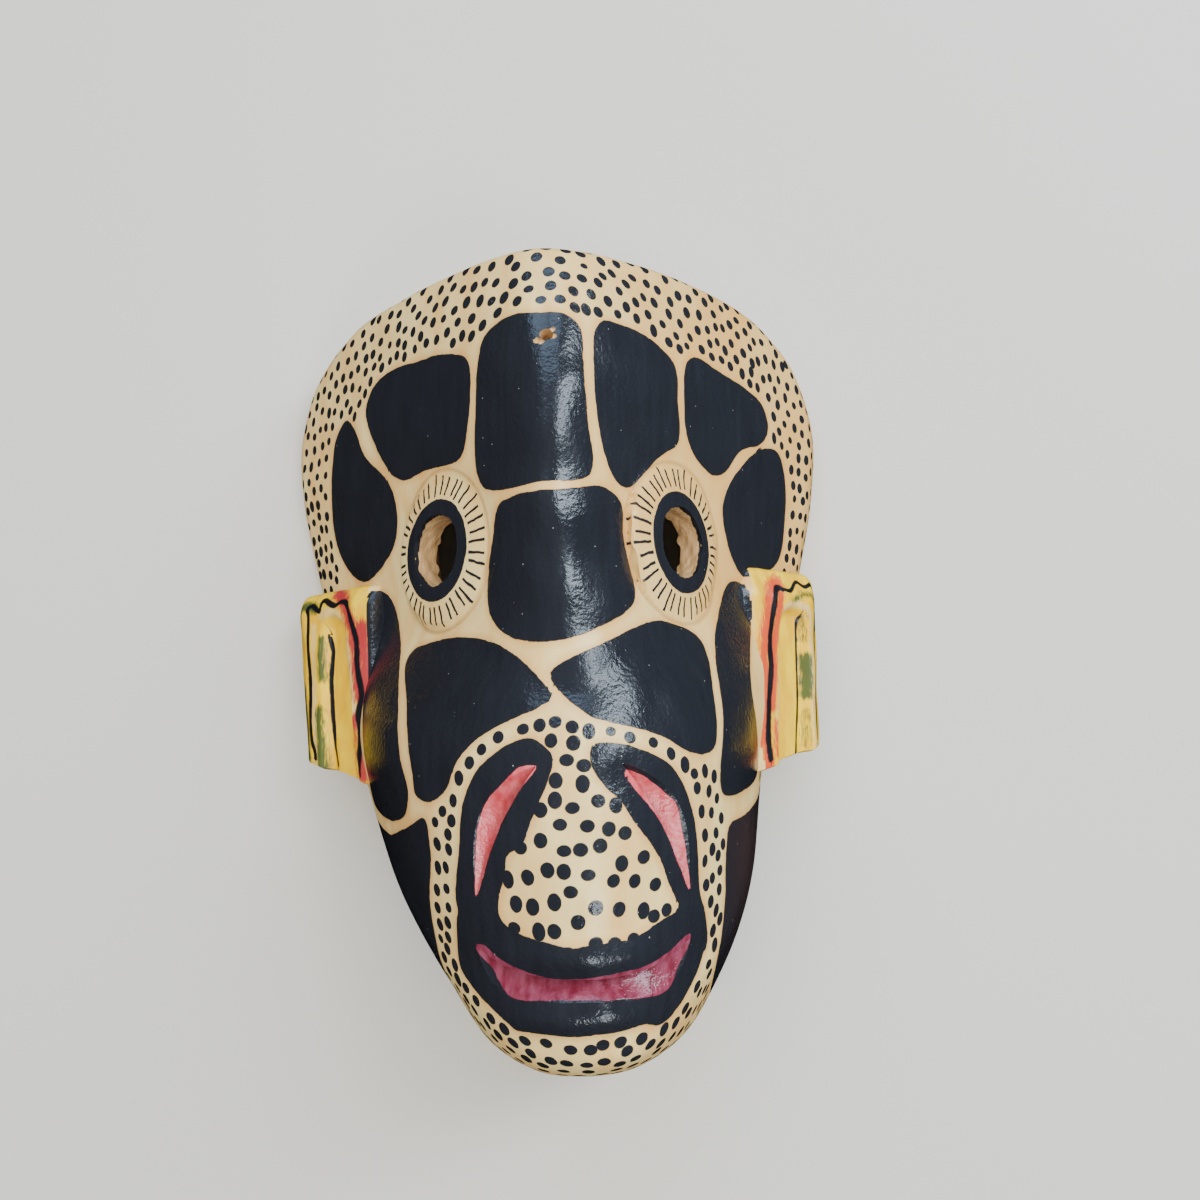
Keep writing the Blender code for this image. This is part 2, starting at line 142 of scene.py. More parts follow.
def through(points, steps, closed=True):
    """A curve through points that rounds no corner off further than a hand does."""
    points = [np.array(p, float) for p in points]
    if not closed:
        points = [2 * points[0] - points[1], *points, 2 * points[-1] - points[-2]]
    count = len(points)
    curve = []
    for i in range(count) if closed else range(1, count - 2):
        near = [points[(i + k) % count] for k in (-1, 0, 1, 2)]
        before, start, end, after = near
        first, gap, last = (math.sqrt(np.linalg.norm(q - p)) for p, q in zip(near, near[1:]))
        leave = end - start + gap * ((start - before) / first - (end - before) / (first + gap))
        arrive = end - start + gap * ((after - end) / last - (after - start) / (gap + last))
        for t in np.arange(steps) / steps:
            rise = t * t * (3.0 - 2.0 * t)
            bend = t * (1.0 - t) ** 2 * leave - t * t * (1.0 - t) * arrive
            curve.append(start * (1.0 - rise) + end * rise + bend)
    return np.array(curve if closed else [*curve, points[-2]])


RIM = through([*RIM_HALF, *((-x, y) for x, y in RIM_HALF[-2:0:-1])], 14)


def to_line(points, line, closed=True):
    """The distance from each point to the nearest place on a line."""
    ends = np.roll(line, -1, axis=0) if closed else line[1:]
    nearest = np.full(len(points), np.inf)
    for start, end in zip(line, ends):
        side = end - start
        t = np.clip((points - start) @ side / (side @ side), 0.0, 1.0)[:, None]
        nearest = np.minimum(nearest, ((points - start - t * side) ** 2).sum(axis=1))
    return np.sqrt(nearest)


def is_inside(x, y, line):
    """True for the points that a closed line goes round."""
    odd = np.zeros(np.shape(x), bool)
    for (x1, y1), (x2, y2) in zip(line, np.roll(line, -1, axis=0)):
        crosses = (y1 > y) != (y2 > y)
        odd ^= crosses & (x < (x2 - x1) * (y - y1) / (y2 - y1 if y2 != y1 else 1.0) + x1)
    return odd


def rim_distance(x, y):
    x, y = np.broadcast_arrays(x, y)
    return to_line(np.stack([(x - chin_lean(y)).ravel(), y.ravel()], axis=1), RIM).reshape(x.shape)


def lips(x, y):
    middle = 0.5 * (MOUTH_UPPER_Y + MOUTH_LOWER_Y)
    across = np.clip(np.abs(x - MOUTH_X) / MOUTH_HALF, 0.0, 1.0)
    rolls = sum(np.exp(-(((y - middle - side * LIP_AWAY) / LIP_WIDE) ** 2)) for side in (-1, 1))
    return LIP_RISE * rolls * (1.0 - across**3)


def face_height(x, y, skin=0.0):
    """Height of the face without its outer wall, or of the hollow, which is deeper by skin."""
    out = x - ridge_x(y)
    keel = along(y, KEEL)
    ridge = np.hypot(out, along(y, ROUND) + 0.3 * skin)
    roof = along(y, PEAK) - skin * np.sqrt(1.0 + keel**2) - keel * ridge
    lean = ridge_x(y) - chin_lean(y)
    half = along(y, BARREL_HALF) - skin - np.sign(out) * lean
    across = np.clip(np.abs(out) / half, 0.0, 0.995)
    barrel = (along(y, CROWN) - skin) * (1.0 - across**2) ** BARREL_POWER
    muzzle = smooth((MUZZLE_FROM_Y - y) / MUZZLE_BLEND)
    face = roof * (1.0 - muzzle) + barrel * muzzle
    return face if skin else face + lips(x, y)


def wall_height(x, y, skin=0.0):
    return WALL_SLOPE * (rim_distance(x, y) - (RIM_WIDTH if skin else 0.0))


KNIFE_MARKS = ((31.0, 0.35, 0.4), (23.0, 0.3, 2.1), (15.0, 0.2, 1.2), (11.0, 0.13, 2.8))


def knife_marks(x, y):
    """The slight unevenness that the knife leaves, in waves of a length, a rise and a lean."""
    marks = 0.0
    for size, rise, lean in KNIFE_MARKS:
        run = (x * math.cos(lean) + y * math.sin(lean)) / size
        drift = (y * math.cos(lean) - x * math.sin(lean)) / size
        wave = np.sin(math.tau * run + 1.9 * np.sin(2.3 * drift + size))
        marks = marks + rise * wave * np.cos(2.1 * drift + lean)
    return marks


EYES = {"left": (-27.3, 27.2, math.radians(-44.7)), "right": (32.3, 27.7, math.radians(51.5))}
EYE_ROUND = 20.6
EYE_ROUND_LIFT = 2.5
EYE_ROUND_FALL = 0.9
EYE_ROUND_EDGE = 2.2


def eye_rounds(x, y, face):
    """The face with two flat rounds that the eyes are bored through, each cut in round its edge."""
    for ex, ey, turn in EYES.values():
        radius = np.hypot((x - ex) / math.cos(turn), y - ey)
        lift = EYE_ROUND_LIFT - EYE_ROUND_FALL * smooth((radius - 12.0) / 7.0)
        middle = face_height(np.array([ex]), np.array([ey]))[0]
        flat = middle - math.tan(turn) * (x - ex) + lift / math.cos(turn)
        share = smooth((EYE_ROUND - radius) / EYE_ROUND_EDGE)
        upward = (y - ey) + 0.6 * np.sign(turn) * (x - ex)
        low_side = 0.5 - 0.5 * np.clip(upward / 14.0, -1.0, 1.0)
        cut = (0.15 + 0.75 * low_side) * np.exp(-(((radius - EYE_ROUND - 0.3) / 1.0) ** 2))
        face = face + share * (flat - face) - cut
    return face


HANG_X = 1.6
HANG_Y = 73.0
GROOVE_LONG = 9.0
GROOVE_DEEP = 0.45
GROOVE_WIDE = 1.3


def worn_groove(x, y):
    """The cord that it hung by has worn a shallow groove up from its hole."""
    up = np.clip(y - HANG_Y, 0.0, GROOVE_LONG)
    away = np.hypot(x - HANG_X + 0.12 * up, y - HANG_Y - up)
    return GROOVE_DEEP * np.exp(-((away / GROOVE_WIDE) ** 2))


def carved_height(x, y, skin=0.0):
    """The face and its outer wall, rounded into each other."""
    face = face_height(x, y, skin)
    if not skin:
        face = eye_rounds(x, y, face + knife_marks(x, y)) - worn_groove(x, y)
    at_chin, at_crown = smooth((-y - 55.0) / 35.0), smooth((y - 80.0) / 25.0)
    width = ARRIS_ROUND + CHIN_ROUND * at_chin + CROWN_ROUND * at_crown
    return lower_of(face, wall_height(x, y, skin), np.clip(width, 1.0, np.maximum(face, 1.0)))


def surface_points(squares, skin=0.0):
    """Places in a square net, whose inner part covers the face and whose edge part the wall."""
    side = np.linspace(-1.0, 1.0, squares + 1)
    u, v = (a.ravel() for a in np.meshgrid(side, side))
    square = np.maximum(np.abs(u), np.abs(v))
    steep = np.abs(v) > np.abs(u)
    major = np.where(steep, v, u)
    minor = np.where(steep, u, v)
    eighth = math.pi / 4.0 * minor / np.where(major == 0.0, 1.0, major)
    turn = np.where(steep, math.pi / 2.0 - eighth, eighth)
    turn = (turn + np.where(major < 0.0, math.pi, 0.0)) % math.tau

    rim = RIM + np.stack([chin_lean(RIM[:, 1]), np.zeros(len(RIM))], axis=1)
    ahead = np.roll(rim, -1, axis=0) - np.roll(rim, 1, axis=0)
    outward = np.stack([ahead[:, 1], -ahead[:, 0]], axis=1)
    outward *= np.sign((outward * rim).sum()) / np.linalg.norm(outward, axis=1)[:, None]
    rim = rim - (RIM_WIDTH if skin else 0.0) * outward
    bearing = np.arctan2(rim[:, 1], rim[:, 0]) % math.tau
    order = np.argsort(bearing)
    rays = np.arange(RAYS) * math.tau / RAYS
    reach = np.interp(rays, bearing[order], np.hypot(*rim.T)[order], period=math.tau)
    cos, sin = np.cos(rays)[:, None], np.sin(rays)[:, None]
    out = reach[:, None] * (1.0 - (1.0 - np.linspace(0.0, 1.0, RAY_STEPS)) ** 2)
    over = face_height(out * cos, out * sin, skin) < wall_height(out * cos, out * sin, skin)
    arris = np.array([row[np.flatnonzero(keep)[-1]] for row, keep in zip(out, over)])
    arris = sum(np.roll(arris, k) for k in range(-4, 5)) / 9.0

    rings = np.linspace(0.0, 1.0, squares // 2 + 1)
    on_face = rings < FACE_SHARE
    radius = np.empty((RAYS, len(rings)))
    for way, chosen, share in (
        (arris[:, None] * np.linspace(0.0, 1.0, RAY_STEPS), on_face, rings / FACE_SHARE),
        (
            arris[:, None] + (reach - arris)[:, None] * np.linspace(0.0, 1.0, RAY_STEPS),
            ~on_face,
            (rings - FACE_SHARE) / (1.0 - FACE_SHARE),
        ),
    ):
        height = carved_height(way * cos, way * sin, skin)
        run = np.cumsum(np.hypot(np.diff(way, axis=1), np.diff(height, axis=1)), axis=1)
        for i in range(RAYS):
            radius[i, chosen] = np.interp(share[chosen] * run[i, -1], [0.0, *run[i]], way[i])

    ring = np.rint(square * (squares // 2)).astype(int)
    spot = turn * RAYS / math.tau
    first = np.floor(spot).astype(int) % RAYS
    part = spot - np.floor(spot)
    far = radius[first, ring] * (1.0 - part) + radius[(first + 1) % RAYS, ring] * part
    x, y = far * np.cos(turn), far * np.sin(turn)
    z = np.where(ring == squares // 2, 0.0, np.maximum(carved_height(x, y, skin), 0.05))
    return x, y, z


GOUGE_STEP_X = 8.0
GOUGE_STEP_Y = 21.0
GOUGE_HALF_X = 5.2
GOUGE_HALF_Y = 15.0
GOUGE_DEEP = 0.9


def gouge_marks(x, y):
    """Scallops that a gouge leaves in the hollow, each cut a little way along the grain."""
    chance = np.random.default_rng(7)
    rows, columns = np.meshgrid(np.arange(-5.5, 6.5), np.arange(-12.0, 13.0))
    rows, columns = rows.ravel(), columns.ravel()
    middle_x = columns * GOUGE_STEP_X + 0.5 * GOUGE_STEP_X * (rows % 2)
    middles = np.stack([middle_x, rows * GOUGE_STEP_Y], axis=1)
    middles += chance.uniform(-1.0, 1.0, middles.shape) * (2.0, 6.0)
    nearest = np.full(np.shape(x), 9.0)
    for cx, cy in middles:
        away = ((x - cx) / GOUGE_HALF_X) ** 2 + ((y - cy) / GOUGE_HALF_Y) ** 2
        nearest = np.minimum(nearest, away)
    return GOUGE_DEEP * (1.0 - np.minimum(nearest, 1.6))


PAINT, BARE, EAR = 0, 1, 2
materials = [
    bpy.data.materials.new(name) for name in ("enamelled_face", "bare_carved_wood", "enamelled_ear")
]


def net_mesh(places, squares, below=0.0):
    """A closed mesh: the net over the face, and a flat underside at the rim or further below it."""
    bm = bmesh.new()
    bmesh.ops.create_grid(bm, x_segments=squares, y_segments=squares, size=1.0)
    for vert, place in zip(bm.verts, np.stack(places, axis=1)):
        vert.co = place
    edge = [e for e in bm.edges if e.is_boundary]
    if below:
        pulled = bmesh.ops.extrude_edge_only(bm, edges=edge)["geom"]
        for item in pulled:
            if isinstance(item, bmesh.types.BMVert):
                item.co.z = -below
        edge = [item for item in pulled if isinstance(item, bmesh.types.BMEdge)]
    bmesh.ops.contextual_create(bm, geom=edge)
    return bm


def carving_stage(name, bm, finish):
    """A mesh as an object of its own, in one finish, scaled from mm and set in the mask's frame."""
    to_mask = Matrix.Scale(MM, 4) @ Matrix.Translation((0.0, -MIDDLE_Y, 0.0))
    bmesh.ops.transform(bm, matrix=to_mask, verts=bm.verts)
    bmesh.ops.recalc_face_normals(bm, faces=bm.faces)
    for face in bm.faces:
        face.material_index = BARE if face.calc_center_median().z < 1e-6 else finish
    mesh = bpy.data.meshes.new(name)
    bm.to_mesh(mesh)
    bm.free()
    for material in materials:
        mesh.materials.append(material)
    obj = bpy.data.objects.new(name, mesh)
    bpy.context.scene.collection.objects.link(obj)
    return obj


def height_at(x, y):
    return float(carved_height(np.array([x]), np.array([y]))[0])


def outward_at(x, y, step=1.5):
    slope_x = (height_at(x + step, y) - height_at(x - step, y)) / (2.0 * step)
    slope_y = (height_at(x, y + step) - height_at(x, y - step)) / (2.0 * step)
    return Vector((-slope_x, -slope_y, 1.0)).normalized()


def loft(sections):
    """A closed mesh through sections of equal point counts, with its ends capped."""
    bm = bmesh.new()
    rings = [[bm.verts.new(point) for point in section] for section in sections]
    sides = len(rings[0])
    for ring, following in zip(rings, rings[1:]):
        for k in range(sides):
            bm.faces.new((ring[k], ring[(k + 1) % sides], following[(k + 1) % sides], following[k]))
    bm.faces.new(rings[0])
    bm.faces.new(rings[-1])
    return bm


block = carving_stage("painted_mask", net_mesh(surface_points(FACE_SQUARES), FACE_SQUARES), PAINT)
hx, hy, hz = surface_points(HOLLOW_SQUARES, WALL_THICK)
hz = hz + gouge_marks(hx, hy) * smooth(hz / 12.0)
hollow = carving_stage("hollow", net_mesh((hx, hy, hz), HOLLOW_SQUARES, below=6.0), BARE)


# The ears: slabs left standing out of the block beside the cheeks, each with an arched channel cut
# down it. Their arrises are rounded with the knife, and the lower end is sawn off at a slant.

EAR_INNER_X = 51.5
EAR_INNER_Z = 44.5
EAR_SLOPE = math.radians(38.0)
EAR_BURIED = 9.0
EAR_THICK = 12.0
EAR_LOW_Y = -33.5
EAR_LOW_RISE = 8.0
EAR_CORNER = 6.0
EAR_CORNER_DROP = 4.5
EARS = {"left": (-1, 24.5, 39.6, 33.0), "right": (1, 27.0, 38.2, 35.6)}
CHANNELS = {"left": (7.5, (13.5, 25.0), (5.5, 23.0)), "right": (10.5, (18.5, 31.5), (13.0, 30.0))}
EAR_NET = 0.62
CHANNEL_DEEP = 3.2
EAR_TO_CHEEK = 3.0
EAR_TO_CHEEK_WIDE = 10.0
EAR_STEP = 8.0
EAR_STEP_FROM = 4.0
EAR_STEP_WIDE = 4.0
EAR_STEP_LOW = 32.0
EAR_STEP_LONG = 14.0
EAR_EDGE_FALL = 2.5
EAR_EDGE_WIDE = 6.5
EAR_ARRIS = 1.6


def ear_relief(across, wide, down, up_from_low, channel_top, channel_from, channel_to):
    """Depth below the ear's crest, which falls off to the cheek and the edges round its channel."""
    half = 0.5 * (channel_to - channel_from)
    above = np.maximum(channel_top + half - down, 0.0)
    inside = half - np.hypot(across - channel_from - half, above)
    channel = CHANNEL_DEEP * smooth(inside / CHANNEL_DEEP)
    to_cheek = EAR_TO_CHEEK * smooth(1.0 - across / EAR_TO_CHEEK_WIDE)
    step = EAR_STEP * smooth((EAR_STEP_FROM - across) / EAR_STEP_WIDE)
    step = step * smooth((EAR_STEP_LOW - down) / EAR_STEP_LONG)
    to_edge = EAR_EDGE_FALL * smooth((across - wide) / EAR_EDGE_WIDE + 1.0)
    to_top = EAR_EDGE_FALL * smooth(1.0 - down / (channel_top - 1.0))
    border = np.minimum(np.minimum(wide - across, down), up_from_low * 2.0)
    rounding = np.maximum(EAR_ARRIS - border, 0.0)
    arris = EAR_ARRIS - np.sqrt(np.maximum(EAR_ARRIS**2 - rounding**2, 0.0))
    carved = 0.12 * np.sin(down / 3.1 + across / 2.3) + 0.1 * np.sin(down / 5.3 - across)
    return channel + to_cheek + step + np.hypot(to_edge, to_top) + arris + carved


def ear_frame(side):
    """The corner that an ear is measured from, the way across it, and the way out of its front."""
    across = Vector((side * math.cos(EAR_SLOPE), 0.0, -math.sin(EAR_SLOPE)))
    outward = Vector((side * math.sin(EAR_SLOPE), 0.0, math.cos(EAR_SLOPE)))
    return Vector((side * EAR_INNER_X, 0.0, EAR_INNER_Z)), across, outward


def ear(side, top_y, top_wide, low_wide, channel_top, edges_at_top, edges_at_low):
    start, way, outward = ear_frame(side)
    columns = round((top_wide + EAR_BURIED) / EAR_NET)
    rows = round((top_y - EAR_LOW_Y) / EAR_NET)
    bm = bmesh.new()
    bmesh.ops.create_grid(bm, x_segments=columns, y_segments=rows, size=1.0)
    back = {}
    for vert in bm.verts:
        up = (vert.co.y + 1.0) / 2.0
        wide = low_wide + (top_wide - low_wide) * up
        across = -EAR_BURIED + (wide + EAR_BURIED) * (vert.co.x + 1.0) / 2.0
        past = max(across - (wide - EAR_CORNER), 0.0) / EAR_CORNER
        top = top_y - EAR_CORNER_DROP * (1.0 - math.sqrt(1.0 - min(past, 1.0) ** 2))
        low = EAR_LOW_Y + EAR_LOW_RISE * max(across, 0.0) / low_wide
        y = low + (top - low) * up
        flat = start + way * across + Vector((0.0, y, 0.0))
        back[vert.index] = flat - outward * EAR_THICK
        edges = [b + (t - b) * up for t, b in zip(edges_at_top, edges_at_low)]
        depth = float(ear_relief(across, wide, top - y, y - low, channel_top, *edges))
        vert.co = flat - outward * depth
    edge = [e for e in bm.edges if e.is_boundary]
    edge_verts = {v.co.to_tuple(4): back[v.index] for e in edge for v in e.verts}
    pulled = bmesh.ops.extrude_edge_only(bm, edges=edge)["geom"]
    for item in pulled:
        if isinstance(item, bmesh.types.BMVert):
            item.co = edge_verts[item.co.to_tuple(4)]
    edge = [item for item in pulled if isinstance(item, bmesh.types.BMEdge)]
    bmesh.ops.contextual_create(bm, geom=edge)
    return bm


joined = [carving_stage(f"{word}_ear", ear(*EARS[word], *CHANNELS[word]), EAR) for word in EARS]


# The eyes: bored square to the rounds they sit on, with bare wood left in the bore. Behind, the
# wood is thinned round each bore so that the wearer sees out, which left its back edge ragged.

EYE_HOLE = 9.3
EYE_SIDES = 120
EYE_FRONT = 40.0
EYE_WALL_TOP = 4.0
EYE_WALL_STEP = 0.7
EYE_BACK = -4.4
EYE_FLARE = ((20.0, -10.8), (20.0, -22.0))


def eye_frame(x, y, turn):
    """An eye's middle on the cheek, and the way out of it."""
    middle = Vector((x, y, face_height(np.array([x]), np.array([y]))[0]))
    return middle, Vector((math.sin(turn), 0.0, math.cos(turn)))


def squared_to(place, away):
    """The matrix that sets a tool down at a place, pointing away from the wood."""
    return Matrix.Translation(place) @ away.to_track_quat("Z", "Y").to_matrix().to_4x4()


def eye_hole(middle, away):
    """A bore with a torn wall, wider behind where the wood was thinned."""
    turns = np.arange(EYE_SIDES) * math.tau / EYE_SIDES
    ragged = 0.5 * np.sin(7 * turns + 1.0) + 0.35 * np.sin(16 * turns)
    rings = []
    for z in (EYE_FRONT, *np.arange(EYE_WALL_TOP, EYE_BACK, -EYE_WALL_STEP), EYE_BACK):
        torn = 0.16 * np.sin(5 * turns + 1.3 * z) + 0.1 * np.sin(13 * turns - 2.1 * z)
        torn = torn + 0.07 * np.sin(29 * turns + 4 * z)
        rings.append((EYE_HOLE + torn, z + ragged * (z == EYE_BACK)))
    rings += [(np.full(EYE_SIDES, radius), np.full(EYE_SIDES, z)) for radius, z in EYE_FLARE]
    bm = loft([
        [(r * math.cos(a), r * math.sin(a), z) for a, r, z in zip(turns, radii, heights)]
        for radii, heights in rings
    ])
    bmesh.ops.transform(bm, matrix=squared_to(middle, away), verts=bm.verts)
    return bm


cut = [hollow]
for word, eye in EYES.items():
    cut.append(carving_stage(f"{word}_eye_hole", eye_hole(*eye_frame(*eye)), BARE))


# The nostrils and the mouth: cut into the muzzle after it is rounded. A nostril is one slanting
# stroke that is deepest against the nose, and the mouth is a steep cut met by a long slope.

NOSE_X = 7.0
NOSTRIL_TOP = (9.0, -26.5)
NOSTRIL_LOW = (23.5, -55.0)
NOSTRIL_DEPTH = 4.0
NOSTRIL_WIDE = 7.0
NOSTRIL_STEPS = 48
MOUTH_TIP_Y = -65.5
MOUTH_DEPTH = 4.2
MOUTH_STEPS = 80
PAST_EDGE = 1.6


def on_face(x, y):
    return Vector((x, y, height_at(x, y)))


def hollow_ground(fold, edge, past, bow):
    """Places from the deepest line of a cut out over its edge, along a blade's slight curve."""
    up = Vector((0.0, 0.0, bow))
    steps = (*np.arange(0.0, 1.01, 0.1), past)
    return [fold.lerp(edge, t) - up * math.sin(math.pi * min(t, 1.0)) for t in steps]


def nostril(side):
    top, low = Vector((*NOSTRIL_TOP, 0.0)), Vector((*NOSTRIL_LOW, 0.0))
    chord = low - top
    aside = Vector((-chord.y, chord.x, 0.0)).normalized()
    sections = []
    for k in range(NOSTRIL_STEPS + 1):
        t = 0.01 + 0.98 * k / NOSTRIL_STEPS
        bow = math.sin(math.pi * t**0.85)
        flat = top + chord * t
        inner = flat + aside * 1.5 * bow
        outer = flat + aside * max(NOSTRIL_WIDE * bow, 1.5 * bow + 0.3)
        inner, outer = (on_face(NOSE_X + side * p.x, p.y) for p in (inner, outer))
        up = outward_at(NOSE_X + side * flat.x, flat.y)
        fold = inner - up * NOSTRIL_DEPTH * bow**0.7
        sections.append([*hollow_ground(fold, outer, PAST_EDGE, 0.25 * bow), inner + up * 5.0])
    return loft(sections)


def mouth():
    sections = []
    for k in range(MOUTH_STEPS + 1):
        s = -0.99 + 1.98 * k / MOUTH_STEPS
        x = MOUTH_X + MOUTH_HALF * s
        upper_y = MOUTH_UPPER_Y + (MOUTH_TIP_Y - MOUTH_UPPER_Y) * abs(s) ** 3
        lower_y = MOUTH_LOWER_Y + (MOUTH_TIP_Y - MOUTH_LOWER_Y) * abs(s) ** 8
        lower_y = min(lower_y, upper_y - 0.4)
        upper, lower = on_face(x, upper_y), on_face(x, lower_y)
        up = outward_at(x, 0.5 * (upper_y + lower_y))
        fold = upper.lerp(lower, 0.3) - up * (MOUTH_DEPTH * (1.0 - s**4) + 0.25)
        lower_slope = hollow_ground(fold, lower, PAST_EDGE, 0.3 * (1.0 - s * s))
        upper_wall = hollow_ground(fold, upper, PAST_EDGE, 0.0)
        sections.append([*reversed(upper_wall), *lower_slope[1:]])
    return loft(sections)


for side in (-1, 1):
    cut.append(carving_stage(f"nostril{side}", nostril(side), PAINT))
cut.append(carving_stage("mouth", mouth(), PAINT))


# The hole to hang it by: drilled through the brow, and chipped where the drill broke in.

HANG_RADIUS = 1.6
HANG_LONG = 60.0
HANG_SIDES = 40
CHIPS = ((-2.2, -1.5, 1.0, 0.6), (-1.2, -1.9, 0.9, 0.6), (1.5, 1.2, 0.8, 0.5), (1.7, -0.6, 0.9, 0.5))


def bore(middle, away, radius, depth, sides):
    bm = bmesh.new()
    bmesh.ops.create_cone(
        bm,
        cap_ends=True,
        segments=sides,
        radius1=radius,
        radius2=radius,
        depth=depth,
        matrix=squared_to(middle, away),
    )
    return bm


def chip(dx, dy, wide, deep):
    """A shallow flake broken off beside the hole."""
    bm = bmesh.new()
    bmesh.ops.create_icosphere(bm, subdivisions=3, radius=1.0)
    chance = np.random.default_rng(int(100 * (dx + 9)))
    for vert in bm.verts:
        vert.co *= 1.0 + 0.12 * chance.uniform(-1.0, 1.0)
    place = squared_to(on_face(HANG_X + dx, HANG_Y + dy), outward_at(HANG_X, HANG_Y))
    shape = Matrix.Diagonal((wide, wide * 0.8, deep, 1.0))
    bmesh.ops.transform(bm, matrix=place @ shape, verts=bm.verts)
    return bm


drill_way = outward_at(HANG_X, HANG_Y)
drilled = bore(on_face(HANG_X, HANG_Y), drill_way, HANG_RADIUS, HANG_LONG, HANG_SIDES)
cut.append(carving_stage("hanging_hole", drilled, BARE))
for k, chipped in enumerate(CHIPS):
    cut.append(carving_stage(f"chip{k}", chip(*chipped), BARE))


# The carving is one piece: the ears are part of the block, and everything else is cut out of it.

for tools, operation in ((joined, "UNION"), (cut, "DIFFERENCE")):
    for tool in tools:
        modifier = block.modifiers.new(tool.name, "BOOLEAN")
        modifier.operation = operation
        modifier.solver = "MANIFOLD"
        modifier.object = tool
finished = block.evaluated_get(bpy.context.evaluated_depsgraph_get())
carved = bpy.data.meshes.new_from_object(finished)
block.modifiers.clear()
block.data = carved
for tool in joined + cut:
    bpy.data.objects.remove(tool)
places = np.empty(3 * len(carved.vertices))
carved.vertices.foreach_get("co", places)
places = places.reshape(-1, 3)
places *= np.minimum(1.0, np.array(cad_box[1]) / places.max(axis=0))
places = np.clip(places, *cad_box)
carved.vertices.foreach_set("co", places.ravel())


# The paint. Where each colour ends is worked out on the carved surface: every black patch, band
# and line is an outline in plan, laid on the face, and each point of the mesh keeps its distance
# to the nearest outline, less than nothing inside it. The materials below turn that into edges.

